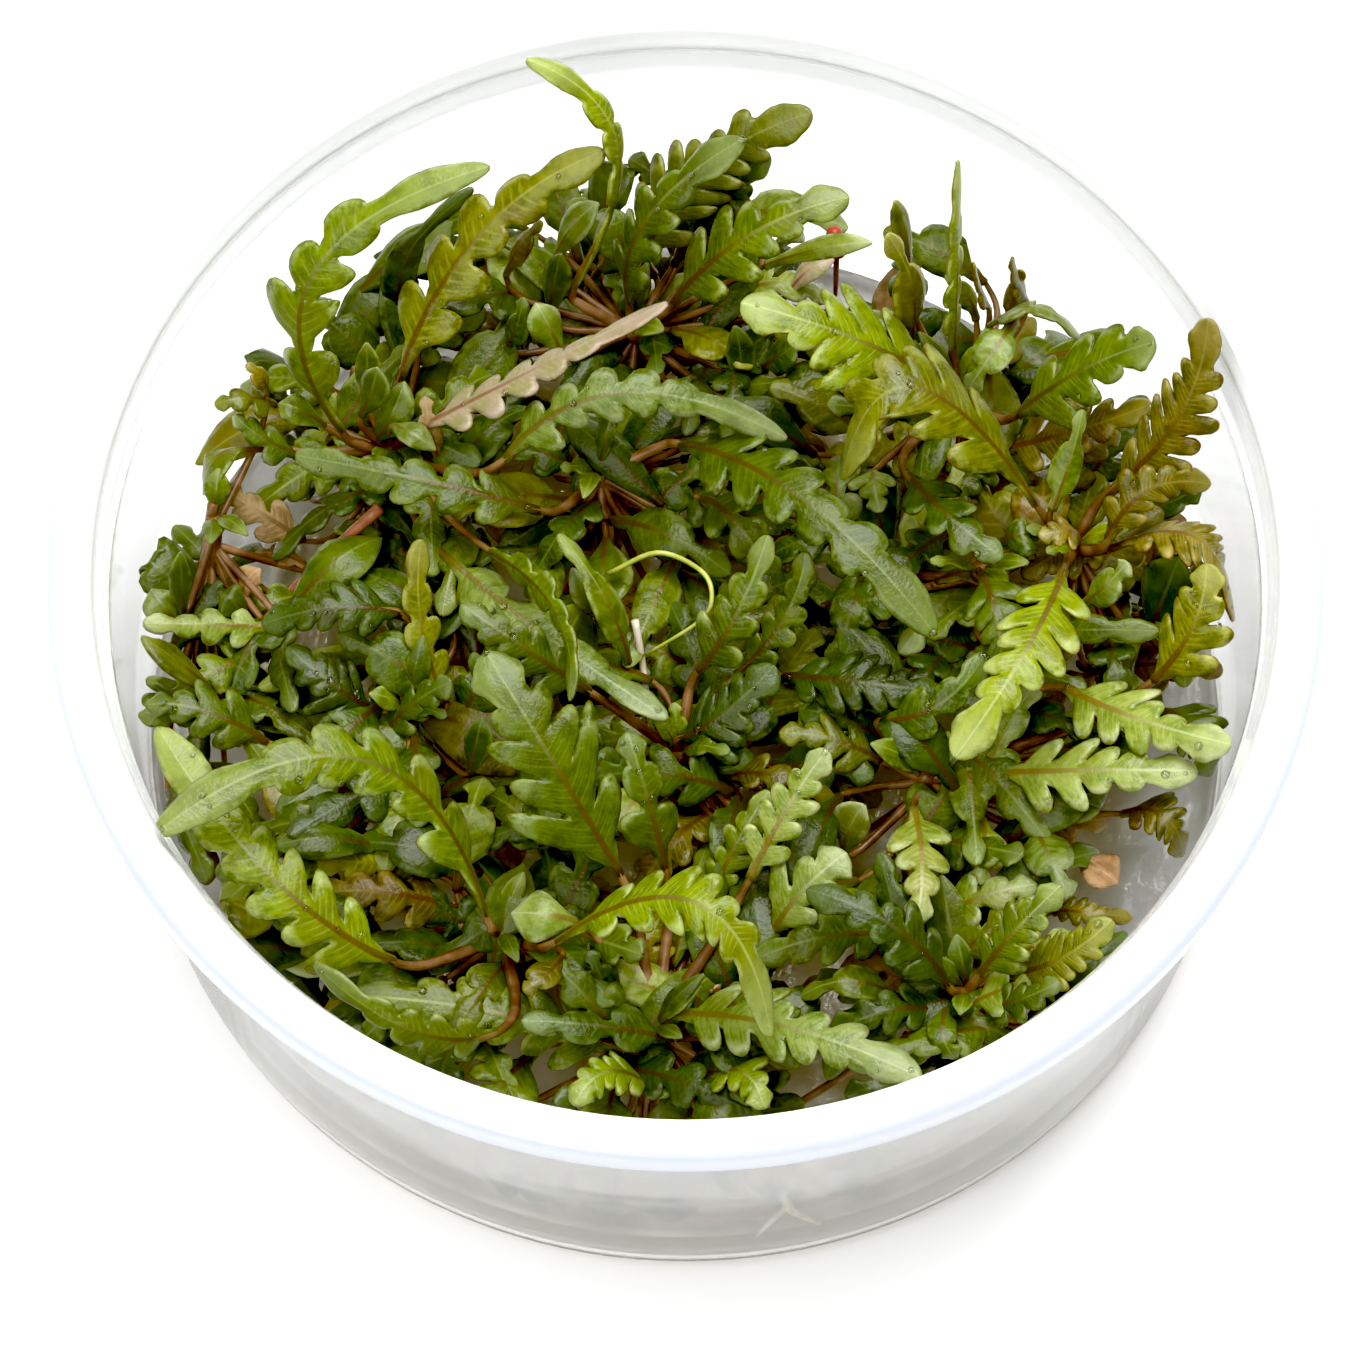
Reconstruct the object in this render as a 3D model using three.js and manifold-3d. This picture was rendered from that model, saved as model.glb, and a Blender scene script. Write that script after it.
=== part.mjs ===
// Water plants in a culture cup: a round clear cup with a white rim, a layer of gel in its foot, and young
// pinnate-leaved shoots that grow out of the gel and fill the cup up to its rim.
// Millimetres, +Z up. The origin is the middle of the cup's flat foot, and +X is the photograph's right.
import * as THREE from 'three';
import Module from 'manifold-3d';
import { mergeVertices } from 'three/addons/utils/BufferGeometryUtils.js';

const wasm = await Module();
wasm.setup();

// Driving dimensions
const CUP_SIDES = 40;
const CUP_HEIGHT = 41.5;
const RIM_RADIUS = 50;
const RIM_EDGE = 1.3;
const RIM_SLOPE = 0.5;
const LIP_HEIGHT = 38;
const SHOULDER_RADIUS = 47.7;
const SHOULDER_HEIGHT = 37.2;
const MOUTH_RADIUS = 46.95;
const NECK_RADIUS = 45.95;
const NECK_HEIGHT = 36;
const HEEL_RADIUS = 44.3;
const HEEL_HEIGHT = 2.4;
const FOOT_RADIUS = 42;
const WALL = 0.8;
const FLOOR = 1;
const GEL_TOP = 8.5;
const GEL_CREEP = 0.7;
const GEL_CREEP_WIDTH = 1.6;
const GAP = 0.3;
const STEM_RADIUS = 0.9;
const STEM_SIDES = 6;
const STEM_STEPS = 2;
const STALK_RADIUS = 0.45;
const STALK_SIDES = 3;
const STALK_STEPS = 1;
const LEAF_THICKNESS = 0.7;
const STALK_WIDTH = 0.5;
const LOWEST_NODE = 0.62;
const HIGHEST_NODE = 0.92;
const STALK_GAP = 0.4;
const LOBED_FROM = 2.3;
const MOST_SMALL_LOBES = 2;
const WELD = 0.001;

// Blade shape, as shares of the blade's length or half width
const WIDEST_AT = 0.25;
const TAPER = 0.35;
const WIDTH_AT_ENDS = 0.62;
const LOBES_START = 0.08;
const LOBES_END = 0.68;
const END_LOBE_WIDTH = 0.62;
const END_LOBE_WIDEST = 0.86;
const NOTCH_AT_BASE = 0.3;
const NOTCH_AT_TIP = 0.72;
const SIMPLE_SHAPE = [[0.35, 0.85], [0.7, 0.95]];
const LOBE_LEAN = 0.65;
const END_LEAN = 0.2;
const LOBE_DROOP = 0.045;

const COLOURS = {
  clear: 0xe9ecec, gel: 0xcfc8b8, stem: 0x6b3a28, young: 0x86b52c, green: 0x5a8a1e, deep: 0x3c6418,
  olive: 0x7a8a22, bronze: 0x9a6a30, pale: 0x9dbb5a, underside: 0xc9b0a0,
};

// How rough each surface is, and how much of what is behind it it hides
const FINISHES = {
  cup: { roughness: 0.15, opacity: 0.4 },
  gel: { roughness: 0.3, opacity: 0.8 },
  stem: { roughness: 0.5, opacity: 1 },
  leaf: { roughness: 0.45, opacity: 1 },
};

// Each shoot: its name, the foot of its stem in the gel, a point on the way up, and the crown.
const SHOOTS = [
  ['back_left', [-25.5, 15.5, 3.5], [-24, 16.5, 21.5], [-23.5, 16.5, 26.5]],
  ['back', [-3, 28, 3.5], [-3.5, 27.5, 21.5], [-4.5, 27.5, 26.5]],
  ['back_right', [24.5, 23.5, 3.5], [23, 22, 21.5], [22, 21.5, 26.5]],
  ['right', [31.5, 8.5, 3.5], [31.5, 8, 21.5], [31, 7.5, 27.5]],
  ['middle_right', [22.5, 5, 3.5], [23.5, 5, 21.5], [23.5, 5.5, 27.5]],
  ['middle', [1.5, -10, 3.5], [0.5, -9.5, 19.5], [-0.5, -9.5, 25.5]],
  ['middle_left', [-21.5, -6, 3.5], [-22, -6.5, 20.5], [-22, -5.5, 24.5]],
  ['front_left', [-13, -25.5, 3.5], [-13.5, -25.5, 20.5], [-14.5, -25, 25.5]],
  ['front', [-3, -33, 3.5], [-2.5, -33.5, 20.5], [-2.5, -33, 25.5]],
  ['front_right', [22, -29.5, 3.5], [22, -30, 20.5], [22, -30, 25.5]],
  ['right_front', [20, -12.5, 3.5], [19.5, -12, 20.5], [19, -11.5, 25.5]],
  ['left_edge', [-36.5, 1, 3.5], [-38.2, 5, 21.5], [-37.5, 9, 29.5]],
  ['upper_middle', [-6, 14, 3.5], [-6.5, 14, 21.5], [-7, 14.5, 26.5]],
];

// Each large leaf: name, its shoot, the blade's start, middle and tip, half width, pairs of lobes, how far
// the blade is turned about its midrib at its start and at its tip in degrees, and its tone.
const LEAVES = [
  ['back_left_tall', 'back_left',
    [-27.5, 17, 28.5], [-29.5, 25, 40.5], [-15.5, 31.5, 46.5], 3.2, 4, 10, 0, 'young'],
  ['back_left_broad', 'back_left',
    [-23, 21, 29.5], [-16.5, 30, 37.5], [-6.5, 35, 42.5], 3.1, 4, -5, 5, 'olive'],
  ['back_twisted', 'back',
    [-9, 29.5, 29.5], [-5.5, 35.5, 42.5], [-12.5, 40, 48.5], 1.9, 4, 70, 10, 'young'],
  ['back_left_pink', 'back_left',
    [-21, 16.5, 30.5], [-12, 19, 35.5], [-1.5, 23.5, 38.5], 2.2, 5, -25, -25, 'underside'],
  ['middle_back_pale', 'back_left',
    [-14.5, 13, 31.5], [-5, 16.5, 36.5], [8, 14.5, 32.5], 2.4, 5, 10, 15, 'pale'],
  ['middle_left_back', 'upper_middle',
    [-11.5, 10, 28.5], [-21, 11, 32], [-31, 13.5, 31.5], 2.5, 4, 10, -20, 'green'],
  ['back_rear', 'back', [-3.5, 31.5, 29.5], [1.5, 36.5, 36.5], [10, 39, 41.5], 3.2, 6, 15, 15, 'olive'],
  ['back_front', 'back', [-4.5, 28, 29.5], [-3, 31, 38.5], [4.5, 35.5, 43.5], 2.8, 4, -10, 0, 'green'],
  ['back_right_lobed', 'back', [-1, 28.5, 28.5], [5, 30.5, 36.5], [13, 33, 38.5], 3.1, 4, 5, 10, 'green'],
  ['back_right_reach', 'back_right',
    [20.5, 21, 29.5], [13, 21.5, 36.5], [4.5, 23.5, 38.5], 4.0, 4, 0, 0, 'young'],
  ['right_arching', 'right', [28, 9.5, 30.5], [18, 15.5, 39.5], [12.5, 9.5, 35.5], 4.2, 5, 0, 0, 'olive'],
  ['back_right_spire', 'back_right',
    [21.5, 24, 29.5], [21.5, 27, 38.5], [21.5, 31.5, 47.5], 1.3, 4, 55, 65, 'young'],
  ['back_right_fan', 'back_right',
    [26.5, 17.5, 30.5], [31.5, 18.5, 36.5], [37, 19, 40.5], 3.5, 3, 0, 0, 'young'],
  ['right_bronze_low', 'back_right',
    [25.5, 16.5, 26.5], [31, 16, 30.5], [37, 16.5, 34.5], 2.8, 4, 0, 10, 'bronze'],
  ['right_bronze_tall', 'right',
    [33.5, 10.5, 30.5], [39, 13.5, 38.5], [41, 18.5, 45.5], 3.0, 6, -10, 10, 'bronze'],
  ['right_bronze_narrow', 'right',
    [33.5, 6, 31.5], [36.5, 8.5, 35.5], [41.5, 9.5, 34.5], 2.0, 4, 30, 30, 'bronze'],
  ['right_bronze_arching', 'right',
    [34.5, 6.5, 29.5], [40.5, 4.5, 34.5], [43.5, 0.5, 28.5], 2.6, 6, -15, -40, 'bronze'],
  ['right_front_young', 'right',
    [30, 3.5, 31.5], [26.5, -6.5, 37.5], [21, -14.5, 35.5], 3.3, 5, 5, 0, 'young'],
  ['middle_right_dark', 'back_right',
    [17.5, 13, 29.5], [21, 7.5, 32.5], [25, 4, 32.5], 2.6, 3, 0, 0, 'deep'],
  ['middle_long', 'upper_middle',
    [-0.5, 15.5, 29.5], [9.5, 7, 36.5], [19.5, -3.5, 34.5], 3.3, 5, 5, 0, 'green'],
  ['middle_low_right', 'middle',
    [7.5, -3.5, 26.5], [14, -5.5, 29.5], [20.5, -6, 28.5], 2.7, 5, 0, 0, 'deep'],
  ['right_front_dark', 'right_front',
    [15.5, -8, 28], [20, -8, 31], [23.5, -4, 31.5], 2.1, 2, 10, 25, 'deep'],
  ['right_edge_broad', 'right_front',
    [37, -4.5, 27.5], [40, -2, 32.5], [41, 2, 35.5], 2.8, 3, -10, 0, 'olive'],
  ['right_edge_pale', 'right_front',
    [30, -5, 27.5], [35.5, -9.5, 31.5], [42.5, -13, 34.5], 2.8, 4, 5, 10, 'pale'],
  ['right_front_pale', 'right_front',
    [25, -12, 26.5], [32, -13.5, 30.5], [40, -14, 31.5], 2.9, 4, 0, 0, 'pale'],
  ['middle_bright', 'front', [-5, -22, 29.5], [-10.5, -15, 36.5], [-15.5, -7, 38.5], 4.6, 4, 0, 0, 'green'],
  ['middle_left_short', 'middle',
    [-7.5, -6.5, 30], [-13, -4.5, 34.5], [-17.5, -1.5, 35.5], 2.3, 4, -10, 0, 'green'],
  ['middle_upright', 'front',
    [-1.5, -21, 28.5], [-3, -17, 33.5], [-4.5, -12.5, 35.5], 2.5, 2, 10, 5, 'green'],
  ['middle_left_pale', 'back_left',
    [-19.5, 7, 27], [-11, -1.5, 29.5], [-1.5, -9, 30.5], 2.3, 3, 0, -10, 'pale'],
  ['middle_fork', 'middle', [1, -4, 28.5], [4, -1.5, 33.5], [6.5, 4, 36.5], 2.5, 3, 0, 0, 'green'],
  ['middle_olive', 'middle', [-0.5, -9, 26.5], [3, -8, 29], [7, -4.5, 30.5], 2.9, 4, 0, 5, 'deep'],
  ['front_tipped', 'front', [5, -22, 28.5], [8, -17.5, 32.5], [11, -14, 35.5], 2.3, 4, 5, 0, 'pale'],
  ['left_glossy', 'middle_left',
    [-22.5, 1, 28.5], [-28, 0.5, 30.5], [-33.5, 0, 28.5], 2.2, 4, 0, -10, 'deep'],
  ['left_lobed', 'middle_left',
    [-25, -5.5, 24.5], [-28, -4.5, 27], [-31.5, -1.5, 27.5], 2.6, 4, 0, 0, 'deep'],
  ['left_edge', 'middle_left',
    [-33, -9, 25.5], [-38, -7.5, 28.5], [-42.5, -7, 28.5], 2.4, 3, 5, 0, 'green'],
  ['front_left_arching', 'front_left',
    [-15.5, -25.5, 29.5], [-25, -17, 40.5], [-40.5, -24, 42.5], 3.5, 5, 0, 0, 'young'],
  ['front_left_rim', 'front_left',
    [-22.5, -29.5, 30], [-32, -25, 36.5], [-41, -12.5, 36.5], 3.4, 5, 0, 0, 'young'],
  ['front_left_low', 'front', [-4.5, -35, 25.5], [-15, -32.5, 27], [-26, -31.5, 28], 3.0, 5, 0, 0, 'green'],
  ['front_rim', 'front_left',
    [-14.5, -35.5, 30.5], [-21, -36.5, 33.5], [-28.5, -31.5, 34.5], 1.8, 4, -30, -45, 'young'],
  ['front_arching', 'front_left',
    [-10, -28, 30.5], [1, -29, 40.5], [6.5, -37, 33.5], 2.7, 6, 5, 10, 'young'],
  ['front_right_low', 'front', [-1, -32.5, 26.5], [8, -36, 32.5], [18, -40.5, 33.5], 3.1, 5, 0, 0, 'pale'],
  ['front_right_grey', 'front_right',
    [20.5, -30.5, 27.5], [16, -27.5, 32.5], [9.5, -24.5, 32.5], 2.5, 4, 0, 0, 'deep'],
  ['front_right_green', 'front_right',
    [23, -29.5, 27.5], [25.5, -28, 32.5], [29, -25, 34.5], 2.2, 4, 5, 0, 'green'],
  ['front_right_feather', 'front_right',
    [25, -29, 26.5], [29, -29.5, 30.5], [33, -27, 32.5], 2.4, 6, 0, 10, 'olive'],
];

// Each small leaf, which is one piece with its shoot: the shoot, the blade's start, middle and tip, half
// width, pairs of lobes, and turn about its midrib in degrees.
const SMALL_LEAVES = [
  ['back_left', [-31, 16, 26.5], [-34, 16, 29.5], [-36, 17, 31.5], 1.6, 2, 0],
  ['back_left', [-26, 18, 29.5], [-25, 19, 32], [-24.5, 20, 34], 1.4, 0, 0],
  ['back_left', [-25, 17, 26.5], [-23.5, 18, 29.5], [-22.5, 20.5, 30.5], 1.4, 0, 0],
  ['back_left', [-22, 27, 28.5], [-22.5, 29.5, 34.5], [-17, 34, 38], 1.5, 1, 40],
  ['back_left', [-33, 19.5, 28.5], [-35, 18.5, 31.5], [-37.5, 18, 31.5], 1.5, 2, 0],
  ['back_left', [-35.5, 15, 29.5], [-37.5, 13, 31.5], [-38.5, 12, 27.5], 1.9, 0, 30],
  ['back_left', [-30.5, 9, 25], [-34, 10.5, 27], [-37, 12.5, 27.5], 2.3, 2, 0],
  ['left_edge', [-40.5, 1.5, 25.5], [-41.5, 2, 27.5], [-42.5, 3.5, 27.5], 1.4, 0, 0],
  ['middle_left', [-37.5, -4, 24.5], [-40, -3.5, 28.5], [-43, -1.5, 29.5], 1.6, 0, 25],
  ['left_edge', [-35, 2.5, 24.5], [-36, 3, 26.5], [-37, 3.5, 26.5], 1.4, 0, 0],
  ['back', [-10, 24.5, 27.5], [-11, 25.5, 30.5], [-12, 27, 31.5], 1.5, 0, 0],
  ['back', [-1, 33, 26.5], [2.5, 35.5, 32.5], [6.5, 37.5, 37.5], 2.5, 4, 10],
  ['back', [6.5, 32, 28.5], [11, 31.5, 32.5], [15, 31.5, 33.5], 0.9, 0, 20],
  ['back', [6, 24.5, 24.5], [8, 24.5, 27.5], [10, 25.5, 28.5], 1.7, 1, 0],
  ['back_right', [18, 24.5, 29.5], [18, 26, 36.5], [16, 27.5, 42.5], 1.8, 1, 10],
  ['back_right', [18, 28, 31.5], [17.5, 30, 38.5], [16.5, 30.5, 42.5], 0.9, 0, 20],
  ['back_right', [24.5, 25.5, 30.5], [28, 24.5, 35.5], [31.5, 23.5, 32.5], 1.6, 2, -30],
  ['back_right', [26.5, 25, 32.5], [24.5, 21.5, 33.5], [22.5, 19.5, 30.5], 1.9, 1, 0],
  ['back_right', [27.5, 27.5, 30.5], [26.5, 27.5, 34.5], [26, 28, 37.5], 1.0, 2, 0],
  ['right', [29, 8.5, 31.5], [30.5, 12, 33.5], [31.5, 15.5, 35.5], 1.2, 1, 15],
  ['right', [31, 6.5, 31.5], [30, 6, 33], [28, 5.5, 33.5], 1.5, 2, 0],
  ['right', [37, 0.5, 25.5], [38, 2, 29.5], [39, 3.5, 33.5], 2.5, 0, 0],
  ['right', [31.5, 2.5, 26.5], [33.5, 3, 29.5], [35, 4, 31.5], 1.7, 1, 0],
  ['middle_right', [23.5, 3.5, 30.5], [24.5, -1, 32.5], [25, -4.5, 30.5], 2.6, 3, 10],
  ['back_right', [15, 13, 29.5], [15, 11.5, 30.5], [15.5, 9.5, 29.5], 1.8, 2, 0],
  ['middle_right', [24, 0, 25.5], [30, -0.5, 28.5], [37.5, -1, 29.5], 1.7, 3, 20],
  ['middle_right', [25, 7, 28.5], [26.5, 7, 30.5], [28, 7.5, 29.5], 1.8, 1, 0],
  ['middle_right', [11, 3.5, 24.5], [14, 2.5, 27.5], [18.5, 3, 27.5], 2.9, 3, 0],
  ['back_right', [10.5, 16.5, 25.5], [7, 17.5, 28.5], [4, 20, 28.5], 2.1, 0, 0],
  ['middle', [-6.5, 1.5, 26.5], [-7.5, 2, 29.5], [-9, 4, 30.5], 1.5, 0, 0],
  ['middle', [-4.5, -2.5, 26.5], [-6.5, 1, 31.5], [-10, 6, 32.5], 1.5, 1, 20],
  ['back_left', [-15.5, 6, 29.5], [-10, -1.5, 34], [-9, -9, 34], 1.4, 4, 55],
  ['middle', [4, -3.5, 26.5], [8, 0, 30.5], [9.5, 4, 33.5], 1.7, 4, 0],
  ['front', [2, -22, 25], [4, -19, 28.5], [6.5, -15.5, 31], 1.9, 4, 0],
  ['middle_left', [-19, -5.5, 25.5], [-21, 0, 28.5], [-21, 6, 31.5], 1.8, 3, 15],
  ['middle_left', [-24, -7.5, 23.5], [-21.5, -6, 26.5], [-18.5, -5, 28.5], 2.1, 3, 0],
  ['middle_left', [-28, -17.5, 22.5], [-30.5, -18.5, 24.5], [-33.5, -18.5, 23.5], 1.9, 2, 0],
  ['middle', [-10, -15.5, 24.5], [-12.5, -16.5, 26.5], [-16, -17.5, 25.5], 1.9, 2, 0],
  ['front', [-8.5, -25.5, 28.5], [-11, -25.5, 30], [-13.5, -25, 29], 2.1, 0, 0],
  ['front_left', [-9.5, -28.5, 28.5], [-11, -31, 30.5], [-12.5, -32, 30.5], 1.5, 1, 0],
  ['front', [1.5, -37.5, 25.5], [4.5, -39, 30.5], [6, -42, 31], 2.2, 3, 0],
  ['front', [-2.5, -38, 24.5], [-6, -38.5, 29.5], [-8.5, -41.5, 30.5], 2.2, 4, 0],
  ['front', [3, -37, 23.5], [2, -39.5, 25.5], [1.5, -40.5, 24.5], 1.5, 0, 0],
  ['front', [-5.5, -31.5, 24.5], [-6.5, -30, 27.5], [-7.5, -28, 28.5], 1.5, 1, 0],
  ['front', [7, -25.5, 26.5], [9, -23.5, 29.5], [12.5, -20.5, 30.5], 3.2, 2, 0],
  ['front_right', [23.5, -31.5, 25.5], [26, -32.5, 29.5], [29, -31.5, 31], 1.8, 3, 0],
  ['front_right', [17, -31, 25.5], [13, -30.5, 28.5], [9, -31, 26.5], 1.6, 1, 0],
  ['front_right', [20, -23, 23.5], [23.5, -22.5, 26.5], [27.5, -21.5, 26.5], 2.3, 2, 0],
  ['front_right', [29, -22.5, 23.5], [31.5, -23.5, 25.5], [35, -23.5, 24.5], 1.2, 4, 0],
  ['front_right', [20.5, -31, 25.5], [20, -34.5, 27.5], [21, -36, 26.5], 1.7, 1, 0],
  ['right_front', [18, -14.5, 25.5], [18.5, -21, 29.5], [18, -26, 29.5], 2.3, 3, 0],
  ['right_front', [27.5, -15.5, 24.5], [28.5, -19.5, 27.5], [30, -23, 27.5], 2.2, 1, 0],
  ['right_front', [23.5, -15, 24.5], [23.5, -18.5, 26.5], [23, -21, 25.5], 1.9, 1, 0],
  ['right_front', [31, -18, 23.5], [32.5, -19.5, 25], [34, -20.5, 24.5], 1.6, 0, 0],
  ['right_front', [34.5, -15, 25.5], [37.5, -17, 29.5], [39, -19, 26.5], 2.1, 4, 0],
  ['right_front', [15.5, -10.5, 25.5], [11.5, -9.5, 27.5], [7.5, -9, 27.5], 2.2, 3, 0],
  ['right_front', [12.5, -18, 24.5], [13, -17, 27.5], [14, -16, 29.5], 1.6, 0, 0],
];

// A closed geometry as a solid for joins and cuts: shared corners merged, and empty triangles dropped
function toSolid(geometry) {
  const bare = geometry.clone();
  bare.deleteAttribute('normal');
  bare.deleteAttribute('uv');
  const merged = mergeVertices(bare, WELD);
  const corners = merged.index.array;
  const kept = [];
  for (let i = 0; i < corners.length; i += 3) {
    const [a, b, c] = [corners[i], corners[i + 1], corners[i + 2]];
    if (a !== b && b !== c && c !== a) kept.push(a, b, c);
  }
  return new wasm.Manifold(new wasm.Mesh({
    numProp: 3,
    vertProperties: new Float32Array(merged.attributes.position.array),
    triVerts: new Uint32Array(kept),
  }));
}

function toGeometry(solid) {
  const mesh = solid.getMesh();
  const geometry = new THREE.BufferGeometry();
  geometry.setAttribute('position', new THREE.BufferAttribute(mesh.vertProperties, 3));
  geometry.setIndex(new THREE.BufferAttribute(mesh.triVerts, 1));
  geometry.computeVertexNormals();
  return geometry;
}

function lathe(points) {
  const geometry = new THREE.LatheGeometry(points.map(([r, z]) => new THREE.Vector2(r, z)), CUP_SIDES);
  return geometry.rotateX(Math.PI / 2);
}

// The cup: flat foot, wall that widens upwards, and a flared rim with a turned-down lip
function makeCup() {
  return lathe([
    [0, 0], [FOOT_RADIUS, 0], [HEEL_RADIUS, HEEL_HEIGHT], [NECK_RADIUS, NECK_HEIGHT],
    [SHOULDER_RADIUS, SHOULDER_HEIGHT], [SHOULDER_RADIUS, LIP_HEIGHT], [RIM_RADIUS, LIP_HEIGHT],
    [RIM_RADIUS, CUP_HEIGHT - RIM_EDGE], [RIM_RADIUS - RIM_EDGE, CUP_HEIGHT - RIM_SLOPE],
    [MOUTH_RADIUS, CUP_HEIGHT],
    [insideWall(NECK_HEIGHT), NECK_HEIGHT], [insideWall(HEEL_HEIGHT + WALL), HEEL_HEIGHT + WALL],
    [FOOT_RADIUS, FLOOR], [0, FLOOR],
  ]);
}

// Radius of the wall's inner face at a height
function insideWall(height) {
  const low = HEEL_HEIGHT + WALL;
  return THREE.MathUtils.mapLinear(height, low, NECK_HEIGHT, HEEL_RADIUS, NECK_RADIUS) - WALL;
}

// The gel: it follows the inside of the wall and creeps a little up it
function makeGel() {
  const low = HEEL_HEIGHT + WALL;
  const high = GEL_TOP + GEL_CREEP;
  return lathe([
    [0, FLOOR + GAP], [FOOT_RADIUS - GAP, FLOOR + GAP], [insideWall(low) - GAP, low],
    [insideWall(high) - GAP, high], [insideWall(GEL_TOP) - GEL_CREEP_WIDTH, GEL_TOP], [0, GEL_TOP],
  ]);
}

// A thin stem or stalk along a curve through the points
function makeTube(points, radius, sides, steps) {
  const section = new THREE.Shape();
  for (let i = 0; i < sides; i += 1) {
    const angle = (2 * Math.PI * i) / sides;
    const corner = [radius * Math.cos(angle), radius * Math.sin(angle)];
    if (i === 0) section.moveTo(...corner);
    else section.lineTo(...corner);
  }
  const extrudePath = new THREE.CatmullRomCurve3(points.map((p) => new THREE.Vector3(...p)));
  return new THREE.ExtrudeGeometry(section, { extrudePath, steps, bevelEnabled: false });
}

// The midrib: a curve that leaves the start, passes the middle point half way, and ends at the tip
function midrib(start, middle, tip) {
  const [a, m, b] = [start, middle, tip].map((p) => new THREE.Vector3(...p));
  const control = m.clone().multiplyScalar(2).sub(a.clone().add(b).multiplyScalar(0.5));
  return new THREE.QuadraticBezierCurve3(a, control, b);
}

// Half width along the blade as a share of the widest: a lobe's tip, a notch beside it, or the end lobe
function envelope(u) {
  const pastLobes = (u - LOBES_END) / (1 - LOBES_END);
  if (pastLobes > 0) return END_LOBE_WIDTH * Math.sqrt(1 - pastLobes ** 2);
  const fromWidest = Math.min(1, Math.abs(u - WIDEST_AT) / TAPER);
  return THREE.MathUtils.lerp(WIDTH_AT_ENDS, 1, Math.cos((Math.PI / 2) * fromWidest));
}

// Rows across the blade from start to tip, each a share of the length and a half width
function bladeRows(half, pairs) {
  if (pairs === 0) return [[0, STALK_WIDTH], ...SIMPLE_SHAPE.map(([u, share]) => [u, share * half]), [1, 0]];
  const rows = [[0, STALK_WIDTH]];
  const spread = (LOBES_END - LOBES_START) / pairs;
  for (let i = 0; i < pairs; i += 1) {
    const notch = LOBES_START + i * spread;
    const depth = THREE.MathUtils.lerp(NOTCH_AT_BASE, NOTCH_AT_TIP, i / pairs);
    if (i > 0) rows.push([notch, Math.max(STALK_WIDTH, half * envelope(notch) * depth)]);
    rows.push([notch + spread / 2, half * envelope(notch + spread / 2)]);
  }
  rows.push([LOBES_END, half * envelope(LOBES_END) * NOTCH_AT_TIP]);
  rows.push([END_LOBE_WIDEST, half * envelope(END_LOBE_WIDEST)]);
  rows.push([1, 0]);
  return rows;
}

// The blade's own directions at a share of its length: along the midrib, across it, and out of its face
function bladeFrame(curve, u, turnStart, turnTip) {
  const heading = curve.v2.clone().sub(curve.v0);
  const level = new THREE.Vector3(heading.y, -heading.x, 0).normalize();
  const along = curve.getTangent(u);
  const turn = THREE.MathUtils.degToRad(THREE.MathUtils.lerp(turnStart, turnTip, u));
  const side = level.addScaledVector(along, -level.dot(along)).normalize().applyAxisAngle(along, turn);
  return { spot: curve.getPoint(u), along, side, normal: new THREE.Vector3().crossVectors(side, along) };
}

// The same directions where a small leaf's stalk leaves the stem
function stalkFrame(root, base) {
  const along = base.spot.clone().sub(root).normalize();
  const guide = Math.abs(base.side.dot(along)) < Math.abs(base.along.dot(along)) ? base.side : base.along;
  const side = guide.clone().addScaledVector(along, -guide.dot(along)).normalize();
  return { spot: root.clone(), along, side, normal: new THREE.Vector3().crossVectors(side, along) };
}

// A blade: a flat box drawn out along the midrib, pinched to an edge at both sides and cut into lobes.
// With a root, the blade starts there as a stalk.
function makeBlade(start, middle, tip, half, pairs, turnStart, turnTip, root) {
  const curve = midrib(start, middle, tip);
  const rows = bladeRows(half, pairs).map(([u, width]) => {
    const lean = pairs > 0 && u <= LOBES_END ? LOBE_LEAN : END_LEAN;
    return { u, width, lean, frame: bladeFrame(curve, u, turnStart, turnTip) };
  });
  if (root) rows.unshift({ u: 0, width: STALK_RADIUS, lean: 0, frame: stalkFrame(root, rows[0].frame) });
  const last = rows.length - 1;
  const geometry = new THREE.BoxGeometry(2, 2, 2, 2, last, 1);
  const places = geometry.attributes.position;
  for (let i = 0; i < places.count; i += 1) {
    const { u, width, lean, frame } = rows[Math.round(((places.getY(i) + 1) / 2) * last)];
    const across = places.getX(i);
    const thickness = u < 1 ? (places.getZ(i) * (1 - Math.abs(across)) * LEAF_THICKNESS) / 2 : 0;
    const spot = frame.spot.clone()
      .addScaledVector(frame.side, across * width)
      .addScaledVector(frame.along, Math.abs(across) * width * lean)
      .addScaledVector(frame.normal, thickness - LOBE_DROOP * (across * width) ** 2);
    places.setXYZ(i, spot.x, spot.y, spot.z);
  }
  return geometry;
}

// A stalk from the stem to just short of a large leaf, in line with its blade
function makeStalk(root, start, middle, tip) {
  const end = midrib(start, middle, tip).getTangent(0).multiplyScalar(-STALK_GAP);
  end.add(new THREE.Vector3(...start));
  return makeTube([root.toArray(), end.toArray()], STALK_RADIUS, STALK_SIDES, STALK_STEPS);
}

// Where a leaf's stalk leaves the stem: lower for a lower leaf, on the side towards it
function stalkRoot(stem, rise, start) {
  const node = stem.getPoint(THREE.MathUtils.lerp(LOWEST_NODE, HIGHEST_NODE, rise));
  const outward = new THREE.Vector3(...start).sub(node).setZ(0).setLength(STEM_RADIUS / 2);
  return node.add(outward);
}

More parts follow.
